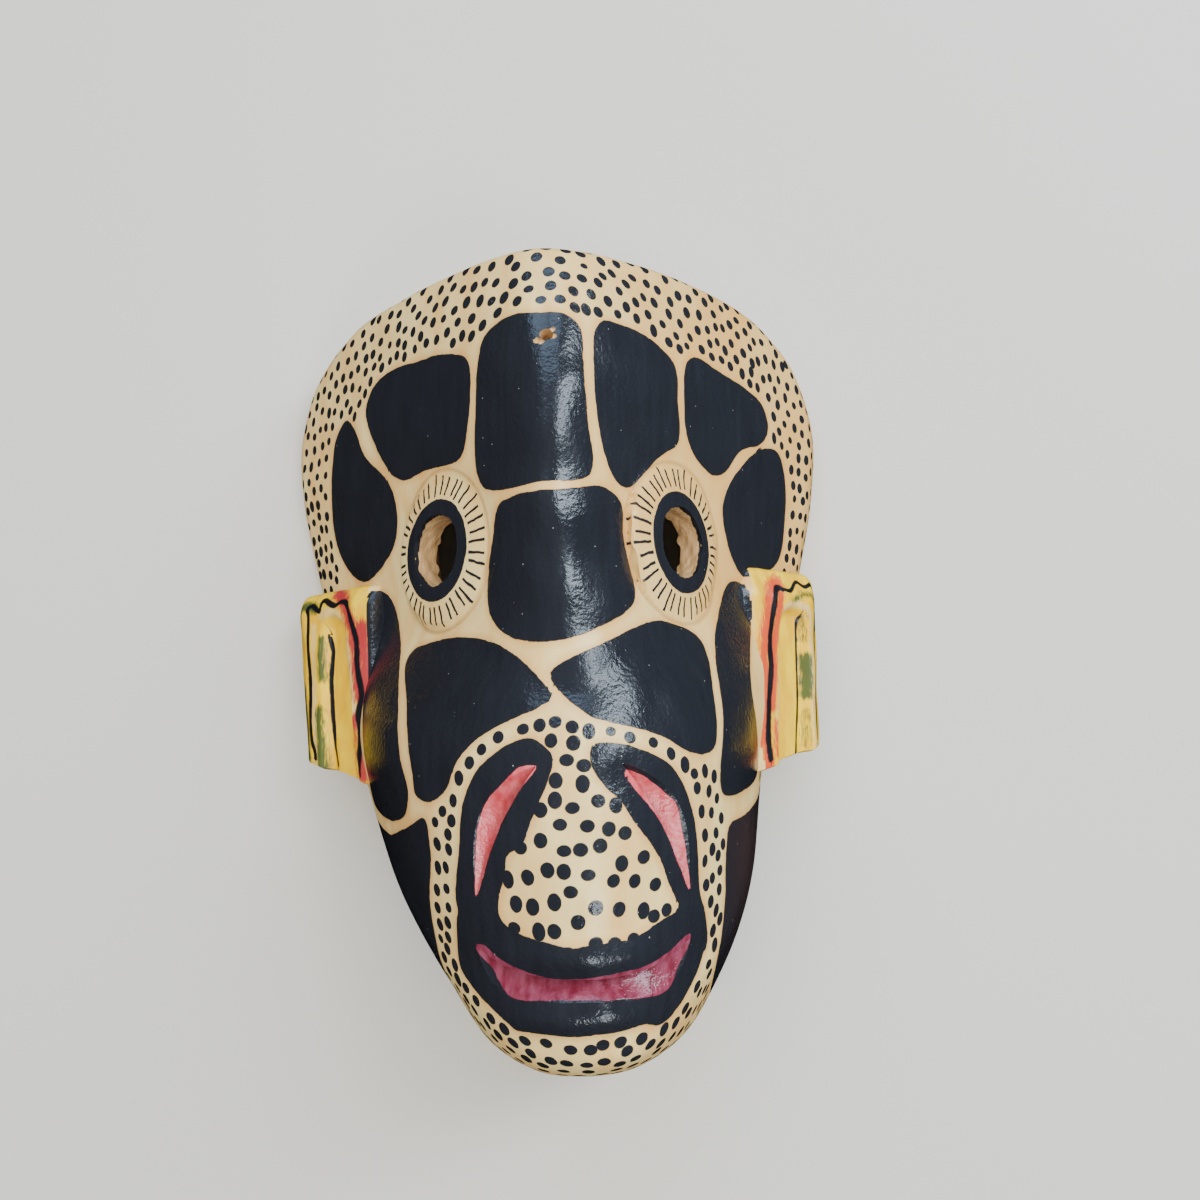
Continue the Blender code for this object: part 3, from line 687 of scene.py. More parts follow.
BLACK_PATCHES = {
    "brow_middle": (
        (-15.8, 71.7), (-13.9, 77.6), (-8.5, 79.9), (-1.0, 79.2), (6.1, 78.6), (9.6, 75.5), (10.1, 67.1),
        (10.9, 52.3), (11.7, 41.8), (9.8, 38.3), (-0.4, 36.8), (-10.3, 37.2), (-14.6, 39.2), (-16.7, 44.1),
        (-16.8, 56.5),
    ),
    "brow_right": (
        (13.4, 76.8), (15.9, 80.0), (24.6, 80.5), (30.5, 78.7), (34.1, 75.2), (34.5, 65.9), (34.1, 54.2),
        (28.8, 48.9), (24.1, 43.1), (19.8, 38.4), (17.1, 39.6), (14.4, 46.1), (13.0, 55.4), (12.6, 66.6),
    ),
    "brow_left": (
        (-54.2, 75.5), (-51.8, 80.6), (-46.8, 83.0), (-34.0, 80.8), (-24.2, 77.7), (-19.6, 74.1),
        (-18.1, 69.6), (-19.1, 54.9), (-20.7, 49.3), (-22.9, 48.3), (-32.5, 49.8), (-39.6, 49.7),
        (-43.9, 52.4), (-51.7, 66.0),
    ),
    "brow_far_right": (
        (37.8, 78.0), (41.0, 80.6), (48.2, 79.7), (62.0, 76.4), (64.7, 70.2), (62.4, 64.0), (53.9, 58.5),
        (48.6, 51.2), (44.3, 49.1), (39.6, 51.6), (37.1, 56.1), (36.3, 66.6),
    ),
    "temple_left": (
        (-62.7, 75.8), (-58.7, 71.3), (-55.0, 62.3), (-45.9, 51.4), (-43.2, 44.3), (-44.5, 33.8),
        (-53.7, 27.0), (-58.5, 27.0), (-65.8, 33.8), (-69.9, 45.4), (-69.1, 63.1), (-67.2, 72.3),
    ),
    "temple_right": (
        (62.3, 62.1), (67.8, 63.0), (70.4, 58.5), (70.8, 43.9), (67.4, 30.2), (54.8, 23.5), (50.6, 27.5),
        (47.6, 37.9), (48.4, 44.9), (53.8, 53.9),
    ),
    "nose_bridge": (
        (-10.9, 33.8), (-7.7, 34.8), (4.1, 35.0), (14.4, 37.2), (18.0, 35.0), (18.7, 25.5), (21.0, 13.6),
        (20.3, 9.8), (14.6, 5.1), (5.6, 1.1), (-1.2, 0.5), (-8.8, 2.6), (-13.5, 8.3), (-14.3, 14.5),
        (-12.7, 26.0),
    ),
    "cheek_left": (
        (-36.6, 2.9), (-31.0, 4.0), (-23.2, 4.3), (-14.7, 2.4), (-7.1, -2.0), (-0.1, -9.2), (1.2, -12.1),
        (-1.3, -14.0), (-10.3, -17.6), (-17.3, -21.8), (-20.9, -26.1), (-23.6, -31.7), (-27.9, -34.6),
        (-32.2, -33.2), (-33.2, -27.4), (-36.7, -10.4), (-38.6, -0.9),
    ),
    "cheek_right": (
        (0.9, -6.9), (3.2, -4.5), (12.2, -0.4), (21.8, 5.0), (27.0, 6.8), (35.1, 5.1), (38.7, 1.5),
        (39.9, -10.2), (39.1, -23.6), (36.0, -25.5), (32.0, -24.8), (25.0, -20.8), (13.0, -17.4),
        (10.1, -16.5), (6.7, -14.1), (3.6, -11.3), (1.7, -8.9),
    ),
    "side_left": (
        (-51.0, 22.6), (-46.4, 19.0), (-41.7, 6.5), (-40.0, -7.6), (-36.8, -25.0), (-34.6, -33.3),
        (-36.1, -38.2), (-41.5, -40.4), (-50.4, -37.5), (-52.6, -28.0), (-55.8, 9.0), (-54.6, 20.8),
    ),
    "side_right": (
        (49.3, 21.0), (53.9, 21.3), (56.0, 15.5), (53.0, -6.8), (54.7, -24.3), (54.6, -32.5),
        (46.4, -35.8), (41.0, -35.4), (40.0, -31.8), (42.0, -17.6), (41.9, 0.4), (44.3, 10.6),
    ),
    "jaw_left": (
        (-28.4, -45.6), (-29.4, -57.7), (-28.6, -67.4), (-27.0, -76.0), (-26.5, -84.0), (-30.0, -96.0),
        (-48.0, -110.0), (-80.0, -70.0), (-76.0, -38.0), (-52.0, -41.5), (-43.0, -44.2), (-40.6, -43.4),
        (-34.5, -40.7), (-29.8, -38.4),
    ),
    "jaw_right": (
        (42.5, -42.9), (41.0, -48.4), (40.2, -60.0), (39.1, -67.9), (37.6, -75.0), (37.4, -84.0),
        (42.0, -96.0), (60.0, -108.0), (88.0, -60.0), (80.0, -36.0), (57.0, -39.0), (48.1, -41.6),
    ),
}
NOSTRIL_BANDS = {
    "left": (
        (-20.6, -59.3), (-20.3, -44.1), (-19.0, -34.2), (-15.7, -27.4), (-10.8, -23.2), (-6.1, -21.0),
        (-3.2, -20.6), (-0.4, -22.4), (1.3, -24.3), (0.8, -28.7), (-1.0, -32.6), (-3.4, -37.9),
        (-5.3, -42.7), (-8.9, -45.5), (-9.4, -48.9), (-11.2, -55.2), (-10.7, -59.1), (-6.5, -61.7),
        (1.5, -63.3), (5.2, -64.1),
    ),
    "right": (
        (9.9, -22.5), (12.5, -21.9), (17.4, -22.7), (22.7, -24.6), (27.4, -27.7), (30.4, -32.5),
        (31.9, -37.3), (32.9, -44.2), (33.1, -51.8), (33.5, -57.7), (34.7, -62.9), (34.3, -69.9),
        (19.6, -63.1), (22.1, -61.4), (27.9, -58.4), (27.0, -55.9), (25.3, -51.5), (24.0, -47.4),
        (21.3, -42.7), (18.6, -39.1), (15.9, -34.6), (12.6, -31.3), (9.8, -26.9),
    ),
}
LIPS = (
    (-11.0, -59.7), (-6.5, -62.1), (-0.7, -63.2), (4.0, -64.1), (8.8, -63.6), (18.1, -62.9), (22.1, -61.0),
    (27.4, -59.0), (33.6, -58.5), (34.6, -64.5), (34.0, -69.6), (32.6, -73.3), (30.2, -77.3), (26.9, -81.1),
    (22.9, -83.2), (19.6, -82.2), (15.6, -82.6), (10.1, -83.0), (4.4, -83.3), (-1.4, -83.1), (-8.1, -83.0),
    (-10.1, -81.7), (-13.3, -79.7), (-17.8, -76.4), (-21.5, -72.0), (-22.0, -65.0), (-20.6, -57.5),
    (-15.5, -56.0),
)
REDS = {
    "left": (
        (-2.0, -26.6), (-6.1, -26.9), (-10.4, -30.9), (-13.4, -34.1), (-15.4, -39.2), (-16.4, -46.6),
        (-16.5, -54.5), (-15.1, -51.5), (-12.5, -43.6), (-9.1, -36.7), (-5.7, -31.3),
    ),
    "right": (
        (16.1, -27.9), (20.7, -29.4), (24.6, -32.4), (28.2, -36.2), (29.2, -40.9), (30.0, -46.6),
        (30.7, -55.3), (28.9, -51.0), (26.0, -43.2), (23.3, -37.8), (19.9, -33.4),
    ),
    "mouth": (
        (-17.3, -65.8), (-15.2, -65.2), (-11.5, -67.5), (-7.4, -69.2), (-4.4, -70.2), (-0.1, -70.9),
        (3.9, -71.0), (8.6, -70.6), (14.2, -70.0), (19.8, -69.3), (25.3, -67.3), (30.5, -64.8),
        (30.4, -66.8), (27.4, -71.6), (25.9, -74.8), (23.8, -76.2), (19.7, -76.3), (14.1, -75.9),
        (2.7, -75.6), (-3.1, -75.9), (-9.1, -75.8), (-11.4, -74.0), (-13.4, -70.7), (-15.9, -68.0),
    ),
}

points = places * 1000.0 + (0.0, MIDDLE_Y, 0.0)


def laid_on_face(line, step=0.35):
    """A plan outline with close points, each on the carved face, and none below the rim."""
    ahead = np.roll(line, -1, axis=0) - line
    close = [
        start + way * k / count
        for start, way in zip(line, ahead)
        for count in [max(1, math.ceil(math.hypot(*way) / step))]
        for k in range(count)
    ]
    close = np.array(close)
    height = carved_height(close[:, 0], close[:, 1])
    out = ~is_inside(close[:, 0] - chin_lean(close[:, 1]), close[:, 1], RIM)
    return np.column_stack([close, np.where(out, -40.0, height)])


def tree_of(spots):
    """A tree that finds the nearest of some places."""
    tree = KDTree(len(spots))
    for i, spot in enumerate(spots):
        tree.insert(spot, i)
    tree.balance()
    return tree


def edge_distance(outlines, flat=False):
    """Each mesh point's distance to the nearest outline, less than nothing inside one."""
    nearest = np.full(len(points), 99.0)
    for outline in outlines:
        line = through(outline, 8)
        laid = np.column_stack([line, np.zeros(len(line))]) if flat else laid_on_face(line)
        where = points * (1.0, 1.0, 0.0) if flat else points
        low, high = laid.min(axis=0) - 6.0, laid.max(axis=0) + 6.0
        chosen = np.flatnonzero(((where > low) & (where < high)).all(axis=1))
        tree = tree_of(laid)
        found = np.array([tree.find(where[i])[1] for i in chosen])
        spots = where[chosen]
        away = np.full(len(chosen), np.inf)
        for start, end in ((found - 1, found), (found, (found + 1) % len(laid))):
            side = laid[end] - laid[start]
            t = ((spots - laid[start]) * side).sum(axis=1) / np.maximum((side**2).sum(axis=1), 1e-9)
            foot = laid[start] + np.clip(t, 0.0, 1.0)[:, None] * side
            away = np.minimum(away, np.linalg.norm(spots - foot, axis=1))
        away *= np.where(is_inside(spots[:, 0], spots[:, 1], line), -1.0, 1.0)
        nearest[chosen] = np.minimum(nearest[chosen], away)
    return nearest


def keep(name, kind, domain, values):
    """An attribute of the carving that a material reads."""
    layer = carved.attributes.new(name, kind, domain)
    field = "vector" if kind == "FLOAT_VECTOR" else "value"
    layer.data.foreach_set(field, np.ravel(values).astype(np.float32))


black_edge = edge_distance([*BLACK_PATCHES.values(), *NOSTRIL_BANDS.values(), LIPS])
red_edge = edge_distance(REDS.values(), flat=True)
keep("black_edge", "FLOAT", "POINT", black_edge)
keep("red_edge", "FLOAT", "POINT", red_edge)


# The spots: dabbed on with the end of a round stick, about 3 mm across. Those on the nose follow
# the photograph one by one, and the rest fill the brow, the temples and the chin as a hand does
# that keeps an even gap. The same spots go on down the sides, which the photograph doesn't show.

NOSE_SPOTS = (
    (5.9, -21.9), (4.4, -25.5), (8.0, -26.7), (2.0, -29.6), (7.7, -30.5), (1.8, -33.7), (10.9, -34.1),
    (14.6, -35.2), (-1.4, -35.7), (5.4, -35.4), (2.7, -38.8), (8.4, -39.2), (13.0, -40.0),
    (16.4, -41.1), (-1.5, -42.0), (-5.9, -43.5), (3.4, -44.2), (6.9, -44.0), (11.1, -43.3),
    (20.3, -46.4), (15.5, -47.3), (-0.2, -48.1), (3.3, -48.4), (8.4, -49.2), (-4.5, -49.7),
    (-8.9, -50.3), (13.7, -50.7), (18.2, -51.3), (22.7, -52.5), (4.6, -52.6), (-7.2, -55.4),
    (-3.6, -55.8), (1.1, -54.7), (9.8, -56.0), (14.7, -56.7), (19.9, -57.7), (22.2, -59.2),
    (25.1, -58.3), (-7.8, -60.5), (-2.4, -61.0), (0.9, -60.8), (6.0, -58.9),
    (9.6, -63.4), (13.6, -63.8), (17.6, -63.4),
)
NOSE = (
    (5.5, -18.8), (10.2, -24.0), (13.0, -30.0), (19.5, -38.5), (25.0, -46.0), (29.5, -58.5), (22.0, -62.5),
    (8.8, -65.5), (-1.0, -65.0), (-12.5, -61.5), (-12.0, -54.0), (-9.0, -44.5), (-2.0, -34.5), (1.0, -24.5),
)
ROUND_MUZZLE = (
    (-0.2, -16.0), (3.1, -16.1), (11.7, -17.6), (20.4, -20.2), (27.7, -23.1), (34.6, -26.1), (38.9, -29.4),
    (40.3, -35.6), (41.0, -48.4), (40.2, -60.0), (39.1, -67.9), (40.0, -84.0), (60.0, -108.0), (30.0, -125.0),
    (-20.0, -125.0), (-48.0, -110.0), (-26.5, -84.0), (-28.6, -67.4), (-29.4, -57.7), (-28.4, -45.6),
    (-27.4, -36.3), (-23.4, -32.8), (-20.9, -27.7), (-17.2, -23.3), (-10.2, -19.4), (-5.7, -17.6),
)
BELOW_BROW = (
    (-66.6, 18.0), (-67.5, 26.5), (-71.8, 45.9), (-70.6, 63.4), (-68.2, 76.9), (-64.5, 77.6), (-58.3, 72.5),
    (-55.5, 76.5), (-47.2, 84.3), (-34.0, 82.1), (-24.2, 79.1), (-18.8, 76.4), (-14.2, 78.5), (-8.5, 81.2),
    (-1.0, 80.5), (6.6, 80.0), (10.3, 77.9), (13.4, 78.4), (15.9, 81.4), (24.7, 81.9), (31.2, 80.4),
    (35.7, 78.1), (41.0, 82.3), (49.0, 81.1), (63.7, 78.0), (66.7, 70.8), (64.8, 64.5), (69.5, 64.1),
    (72.5, 59.0), (73.0, 44.3), (69.0, 28.4), (68.0, 18.0),
)
# Where each ear's yellow starts, from its low end to its top: the face's colours reach up to it.
YELLOW_FROM = {
    "left": ((-32.0, 3.7), (0.0, 4.0), (18.0, 4.2), (24.5, 6.3)),
    "right": ((-32.0, 8.2), (-23.0, 6.9), (-13.0, 6.1), (-3.0, 5.9), (8.0, 6.6), (22.0, 7.5)),
}
SPOT_GAP = {"brow": 4.75, "muzzle": 4.6}
SPOT_SEED = {"brow": 11, "muzzle": 5}
SPOT_SIZE = {"brow": 1.48, "muzzle": 1.5, "nose": 1.6}


def evenly_spread(chosen, gap, seed, rounds=5):
    """Places for spots among the chosen mesh points, about a gap apart, as a hand keeps them."""
    chance = np.random.default_rng(seed)
    ground = points[chosen]
    spots = []
    for i in chance.permutation(len(ground)):
        if all((ground[i] - spot) @ (ground[i] - spot) > (0.8 * gap) ** 2 for spot in spots):
            spots.append(ground[i])
    spots = np.array(spots)
    for _ in range(rounds):
        tree = tree_of(spots)
        owner = np.array([tree.find(p)[1] for p in ground])
        count = np.bincount(owner, minlength=len(spots))
        total = np.stack([np.bincount(owner, ground[:, k], len(spots)) for k in range(3)], axis=1)
        spots = np.where(count[:, None] > 0, total / np.maximum(count, 1)[:, None], spots)
    return spots + chance.normal(0.0, 0.3, spots.shape)


corner_count = np.empty(len(carved.polygons), np.int32)
carved.polygons.foreach_get("loop_total", corner_count)
finish = np.empty(len(carved.polygons), np.int32)
carved.polygons.foreach_get("material_index", finish)
centres = np.empty(3 * len(carved.polygons))
carved.polygons.foreach_get("center", centres)
centres = centres.reshape(-1, 3) * 1000.0 + (0.0, MIDDLE_Y, 0.0)
for word, (side, *_) in EARS.items():
    start, way, _ = ear_frame(side)
    offset = centres - start
    yellow_from = np.interp(offset[:, 1], *zip(*YELLOW_FROM[word]))
    finish[(finish == EAR) & (side * centres[:, 0] > 0.0) & (offset @ way < yellow_from)] = PAINT
carved.polygons.foreach_set("material_index", finish)
corners = np.empty(len(carved.loops), np.int32)
carved.loops.foreach_get("vertex_index", corners)
painted = np.zeros(len(points), bool)
painted[corners[np.repeat(finish == PAINT, corner_count)]] = True
x, y, z = points.T
free = painted & (black_edge > 1.3) & (z > 3.5)
in_nose = is_inside(x, y, through(NOSE, 6))
round_muzzle = is_inside(x, y, through(ROUND_MUZZLE, 6)) & ~in_nose
outside_brow = ~is_inside(x, y, np.array(BELOW_BROW)) & (y > -36.0)
brow = free & outside_brow & ((y > 22.0) | (z < 30.0))
muzzle = free & round_muzzle & (y < -15.0)
nose_spots = np.array(NOSE_SPOTS)
nose_spots = np.column_stack([nose_spots, carved_height(nose_spots[:, 0], nose_spots[:, 1])])
groups = {
    "brow": evenly_spread(brow, SPOT_GAP["brow"], SPOT_SEED["brow"]),
    "muzzle": evenly_spread(muzzle, SPOT_GAP["muzzle"], SPOT_SEED["muzzle"]),
    "nose": nose_spots,
}
all_spots = np.vstack(list(groups.values()))
spot_size = np.concatenate([np.full(len(spots), SPOT_SIZE[word]) for word, spots in groups.items()])
tree = tree_of(all_spots)
nearest_two = np.array([[found[1] for found in tree.find_n(centre, 2)] for centre in centres])
for k, name in enumerate(("spot", "next_spot")):
    keep(name, "FLOAT_VECTOR", "FACE", all_spots[nearest_two[:, k]] - (0.0, MIDDLE_Y, 0.0))
    keep(name + "_size", "FLOAT", "FACE", spot_size[nearest_two[:, k]])


# Round each eye: a ring of enamel at the hole, and thin strokes that run out from it. Each point
# keeps its place on the eye: towards the nose, up, and out of the face.

eye_place = np.zeros((len(points), 3))
for word, (ex, ey, turn) in EYES.items():
    middle, away = eye_frame(ex, ey, turn)
    across = Vector((math.cos(turn), 0.0, -math.sin(turn)))
    side = x < 2.0 if turn < 0.0 else x >= 2.0
    offset = points[side] - middle
    eye_place[side] = np.column_stack([-np.sign(turn) * (offset @ across), offset[:, 1], offset @ away])
keep("eye_place", "FLOAT_VECTOR", "POINT", eye_place)


# The ears' colours: yellow, with red and green brushed over it, a paler tint along the arrises, and
# black lines drawn last. Each stroke is a line across and along the ear, its width and its strength.

EAR_LINES = {
    "left": (
        ((25.0, -60.0), (25.4, -24.2), (27.2, -19.7), (28.0, -7.2), (29.6, 6.6), (30.2, 17.5),
         (31.3, 19.9), (29.3, 20.5), (24.6, 18.3), (24.8, 21.5), (23.3, 21.5), (17.5, 19.2),
         (15.1, 20.1), (12.4, 19.5), (10.6, 16.6), (8.6, 11.5), (7.5, 7.9), (6.9, 0.5), (5.7, -7.3),
         (6.6, -12.5), (5.8, -18.0), (6.4, -27.7), (9.5, -60.0)),
        ((22.3, 10.3), (21.5, 6.1), (21.6, -3.0), (21.0, -11.9), (19.8, -22.1), (18.3, -26.9)),
        (0.85, 0.8, 0.5),
    ),
    "right": (
        ((33.1, -60.0), (32.5, -28.1), (33.0, -12.9), (33.6, 1.0), (36.1, 18.7), (35.6, 23.2),
         (34.3, 23.5), (31.2, 22.4), (27.7, 23.7), (23.5, 20.5), (18.4, 21.1), (17.1, 20.5),
         (14.3, 12.8), (12.3, 4.7), (12.3, -3.2), (10.5, -12.8), (9.7, -22.7), (10.1, -29.9),
         (10.0, -60.0)),
        ((27.9, 12.9), (27.6, 1.0), (26.8, -8.2), (26.3, -17.2), (24.6, -27.4)),
        (1.05, 0.65, 0.42),
    ),
}
EAR_STROKES = {
    "left": {
        "red": (
            (((18.5, 23.1), (13.9, 20.2), (10.5, 15.0), (8.0, 8.1), (6.9, 0.1), (6.0, -7.9)), 3.6, 1.25),
            (((6.3, 12.2), (5.0, 4.2), (4.0, -5.8), (3.6, -15.9), (3.7, -24.0), (5.0, -29.6)), 3.3, 1.3),
            (((7.6, -14.0), (9.3, -20.0), (8.7, -25.1), (7.4, -30.2)), 3.3, 1.12),
        ),
        "green": (
            (((37.5, 17.0), (35.0, 19.8), (31.0, 20.5), (27.0, 19.0)), 2.6, 1.3),
            (((37.8, 15.0), (37.2, 6.0), (35.6, -3.0)), 1.7, 1.0),
            (((33.0, -4.5), (31.4, -14.0), (29.6, -25.0)), 2.9, 1.5),
            (((24.0, 10.0), (23.8, 3.5), (23.4, -2.0)), 1.8, 1.1),
            (((24.2, -11.0), (23.4, -19.0), (22.6, -27.5)), 2.3, 1.25),
        ),
        # Strokes of a paler tint along the arrises.
        "pale_strip": (
            (((23.5, 17.0), (18.0, 17.3), (15.2, 15.1), (13.0, 10.6), (9.8, 2.0), (8.6, -7.0),
             (7.9, -13.5)), 2.4, 1.25),
            (((27.3, 14.0), (27.0, 4.0), (26.4, -6.0), (25.6, -16.0), (24.9, -27.0)), 1.7, 1.0),
        ),
    },
    "right": {
        "red": (
            (((18.8, 22.9), (14.8, 20.1), (12.2, 12.0), (10.4, 4.0), (9.8, -4.0), (9.0, -12.0),
             (8.8, -20.0), (9.2, -30.0)), 3.7, 1.19),
            (((18.6, 19.0), (16.6, 13.0), (14.6, 5.0), (13.2, -4.0), (12.2, -14.0)), 2.4, 1.25),
            (((13.2, -18.0), (12.9, -27.1)), 1.9, 0.85),
        ),
        "green": (
            (((29.6, 1.0), (29.3, -4.5), (29.1, -10.4)), 2.3, 1.25),
            (((24.0, 17.5), (30.6, 20.1), (35.9, 17.6), (37.0, 6.4), (36.6, -7.8), (35.6, -20.0)), 1.9, 0.8),
            (((28.5, 13.2), (29.3, 6.3)), 2.0, 0.6),
            (((28.6, -15.0), (28.0, -25.0)), 1.9, 0.5),
        ),
        # Strokes of a paler tint along the arrises.
        "pale_strip": (
            (((20.3, 14.6), (23.0, 16.2), (28.0, 16.3), (31.1, 14.0), (31.8, 4.1), (31.1, -8.0),
             (30.6, -26.0)), 1.9, 1.25),
            (((20.3, 14.6), (18.6, 6.5), (16.6, -4.0), (15.2, -13.0), (13.8, -23.0)), 2.2, 1.15),
        ),
    },
}
ear_lines = np.full((len(points), 3), 9.0)
ear_tints = np.zeros((len(points), 3))
for word, (side, *_) in EARS.items():
    start, way, outward = ear_frame(side)
    near = np.flatnonzero((side * x > 44.0) & (np.abs(y) < 38.0))
    offset = points[near] - start
    on_ear = np.column_stack([offset @ way, offset[:, 1]])
    drawn, middle, (inner_width, outer_width, middle_width) = EAR_LINES[word]
    loop = through(drawn, 6)
    main = to_line(on_ear, loop) * np.where(is_inside(*on_ear.T, loop), -1.0, 1.0)
    low = EAR_LOW_Y + EAR_LOW_RISE * np.maximum(on_ear[:, 0], 0.0) / 32.0
    main = np.sign(main) * np.maximum(np.abs(main), 3.0 * (low + 2.0 - on_ear[:, 1]))
    width = np.where(on_ear[:, 0] < 20.0, inner_width, outer_width)
    place, value = np.array(middle)[::-1, 1], np.array(middle)[::-1, 0]
    second = on_ear[:, 0] - np.interp(on_ear[:, 1], place, value)
    past = np.maximum(place[0] - on_ear[:, 1], on_ear[:, 1] - place[-1])
    second = np.sign(second) * np.maximum(np.abs(second), past)
    ear_lines[near] = np.column_stack([main / width, second / middle_width, on_ear[:, 1]])
    for k, tint in enumerate(("red", "green", "pale_strip")):
        for stroke, wide, strong in EAR_STROKES[word][tint]:
            field = strong * (1.0 - to_line(on_ear, through(stroke, 5, closed=False), closed=False) / wide)
            ear_tints[near, k] = np.maximum(ear_tints[near, k], field)
keep("ear_lines", "FLOAT_VECTOR", "POINT", ear_lines)
keep("ear_tints", "FLOAT_VECTOR", "POINT", ear_tints)


# The finishes. Each is a node tree in millimetres of the mask, so a pattern's scale is the number
# of its waves in a millimetre.


def colour(code):
    """A colour written as on a paint chart, for a shader."""
    parts = [int(code[k : k + 2], 16) / 255.0 for k in (1, 3, 5)]
    return (*(c / 12.92 if c <= 0.04045 else ((c + 0.055) / 1.055) ** 2.4 for c in parts), 1.0)


def add(tree, kind, feeds=None, **settings):
    """Adds a node with its settings and what feeds it, and gives back its first output in use."""
    node = tree.nodes.new("ShaderNode" + kind)
    for name, value in settings.items():
        setattr(node, name, value)
    for socket, feed in (feeds or {}).items():
        if isinstance(feed, bpy.types.NodeSocket):
            tree.links.new(feed, node.inputs[socket])
        else:
            node.inputs[socket].default_value = feed
    return next((output for output in node.outputs if output.enabled), None)


def start_finish(material):
    """An empty tree with its shader, and places on the mask in mm."""
    material.use_nodes = True
    tree = material.node_tree
    tree.nodes.clear()
    shader = add(tree, "BsdfPrincipled")
    add(tree, "OutputMaterial", {"Surface": shader})
    place = add(tree, "TexCoord").node.outputs["Object"]
    return tree, shader.node, add(tree, "VectorMath", {0: place, "Scale": 1000.0}, operation="SCALE")


def stretched(tree, place, scales, detail=2.0, seed=0.0):
    """Noise from 0 to 1 with its own scale each way, for strokes and grain."""
    scaled = add(tree, "VectorMath", {0: place, 1: scales}, operation="MULTIPLY")
    feeds = {"Vector": scaled, "W": seed, "Scale": 1.0, "Detail": detail}
    return add(tree, "TexNoise", feeds, noise_dimensions="4D")


def edged(tree, distance, soft=0.08):
    """1 inside an edge and 0 outside it, from a distance that is less than nothing inside."""
    return add(tree, "MapRange", {"Value": distance, "From Min": soft, "From Max": -soft})


def wobbled(tree, distance, place, amount):
    """A painted edge as a hand leaves it: a distance with slow and quick unevenness."""
    for scale, detail, most in ((0.28, 2.0, 1.6 * amount), (1.1, 3.0, 0.7 * amount)):
        noise = stretched(tree, place, (scale, scale, scale), detail)
        shift = add(tree, "MapRange", {"Value": noise, "To Min": -most, "To Max": most})
        distance = add(tree, "Math", {0: distance, 1: shift}, operation="ADD")
    return distance


def mixed(tree, share, first, second):
    return add(tree, "Mix", {0: share, 6: first, 7: second}, data_type="RGBA")


def relief(tree, shader, heights):
    """Bumps from heights in mm, each with the size it stands up by."""
    total = 0.0
    for height, size in heights:
        total = add(tree, "Math", {0: height, 1: size, 2: total}, operation="MULTIPLY_ADD")
    bump = add(tree, "Bump", {"Height": total, "Strength": 1.0, "Distance": MM})
    tree.links.new(bump, shader.inputs["Normal"])


# The face: cream enamel with an orange glaze wiped thinly over it, then glossy black, then red in
# the nostrils and the mouth. The black went on thick, so it dried bumpy and shines in speckles.

SPOT_VARIES = 0.3
SPOT_LEAST = 0.85
EYE_STROKES = 39
STROKE_HALF = 0.36
STROKE_NEAR = (13.9, 14.7)
STROKE_FAR = (18.8, 20.4)
EYE_RING = 13.2


def on_eye(tree):
    """A point's place on its eye, and how far that is from the eye's middle."""
    eye = add(tree, "Attribute", attribute_name="eye_place").node.outputs["Vector"]
    eye = add(tree, "SeparateXYZ", {0: eye}).node.outputs
    flat = add(tree, "CombineXYZ", {0: eye[0], 1: eye[1]})
    return eye, add(tree, "VectorMath", {0: flat}, operation="LENGTH").node.outputs["Value"]


tree, shader, place = start_finish(materials[PAINT])
edge = add(tree, "Attribute", attribute_name="black_edge").node.outputs["Fac"]
red = add(tree, "Attribute", attribute_name="red_edge").node.outputs["Fac"]
dark = wobbled(tree, edge, place, 0.22)
for name in ("spot", "next_spot"):
    middle = add(tree, "Attribute", attribute_name=name).node.outputs["Vector"]
    size = add(tree, "Attribute", attribute_name=name + "_size").node.outputs["Fac"]
    chance = add(tree, "TexWhiteNoise", {"Vector": middle}, noise_dimensions="3D").node
    feeds = {0: chance.outputs["Color"], 1: (SPOT_VARIES,) * 3, 2: (SPOT_LEAST,) * 3}
    shape = add(tree, "VectorMath", feeds, operation="MULTIPLY_ADD")
    offset = add(tree, "VectorMath", {0: place, 1: middle}, operation="SUBTRACT")
    offset = add(tree, "VectorMath", {0: offset, 1: shape}, operation="MULTIPLY")
    away = add(tree, "VectorMath", {0: offset}, operation="LENGTH").node.outputs["Value"]
    reach = add(tree, "MapRange", {"Value": chance.outputs["Value"], "To Min": 0.86, "To Max": 1.12})
    reach = add(tree, "Math", {0: reach, 1: size}, operation="MULTIPLY")
    away = add(tree, "Math", {0: away, 1: reach}, operation="SUBTRACT")
    dark = add(tree, "Math", {0: dark, 1: wobbled(tree, away, place, 0.13)}, operation="MINIMUM")

# The strokes round an eye, each at its own small angle and of its own length.
eye, radius = on_eye(tree)
turn = add(tree, "Math", {0: eye[1], 1: eye[0]}, operation="ARCTAN2")
turn = add(tree, "Math", {0: turn, 1: EYE_STROKES / math.tau}, operation="MULTIPLY")
number = add(tree, "Math", {0: turn}, operation="ROUND")
mask_x, mask_y = add(tree, "SeparateXYZ", {0: place}).node.outputs[:2]
side = add(tree, "Math", {0: mask_x}, operation="SIGN")
stroke = add(tree, "CombineXYZ", {0: number, 1: side})
chance = add(tree, "TexWhiteNoise", {"Vector": stroke}, noise_dimensions="3D")
chance = add(tree, "SeparateXYZ", {0: chance.node.outputs["Color"]}).node
lean = add(tree, "MapRange", {"Value": chance.outputs[0], "To Min": -0.2, "To Max": 0.2})
off = add(tree, "Math", {0: turn, 1: number}, operation="SUBTRACT")
off = add(tree, "Math", {0: off, 1: lean}, operation="SUBTRACT")
arc = add(tree, "Math", {0: radius, 1: math.tau / EYE_STROKES}, operation="MULTIPLY")
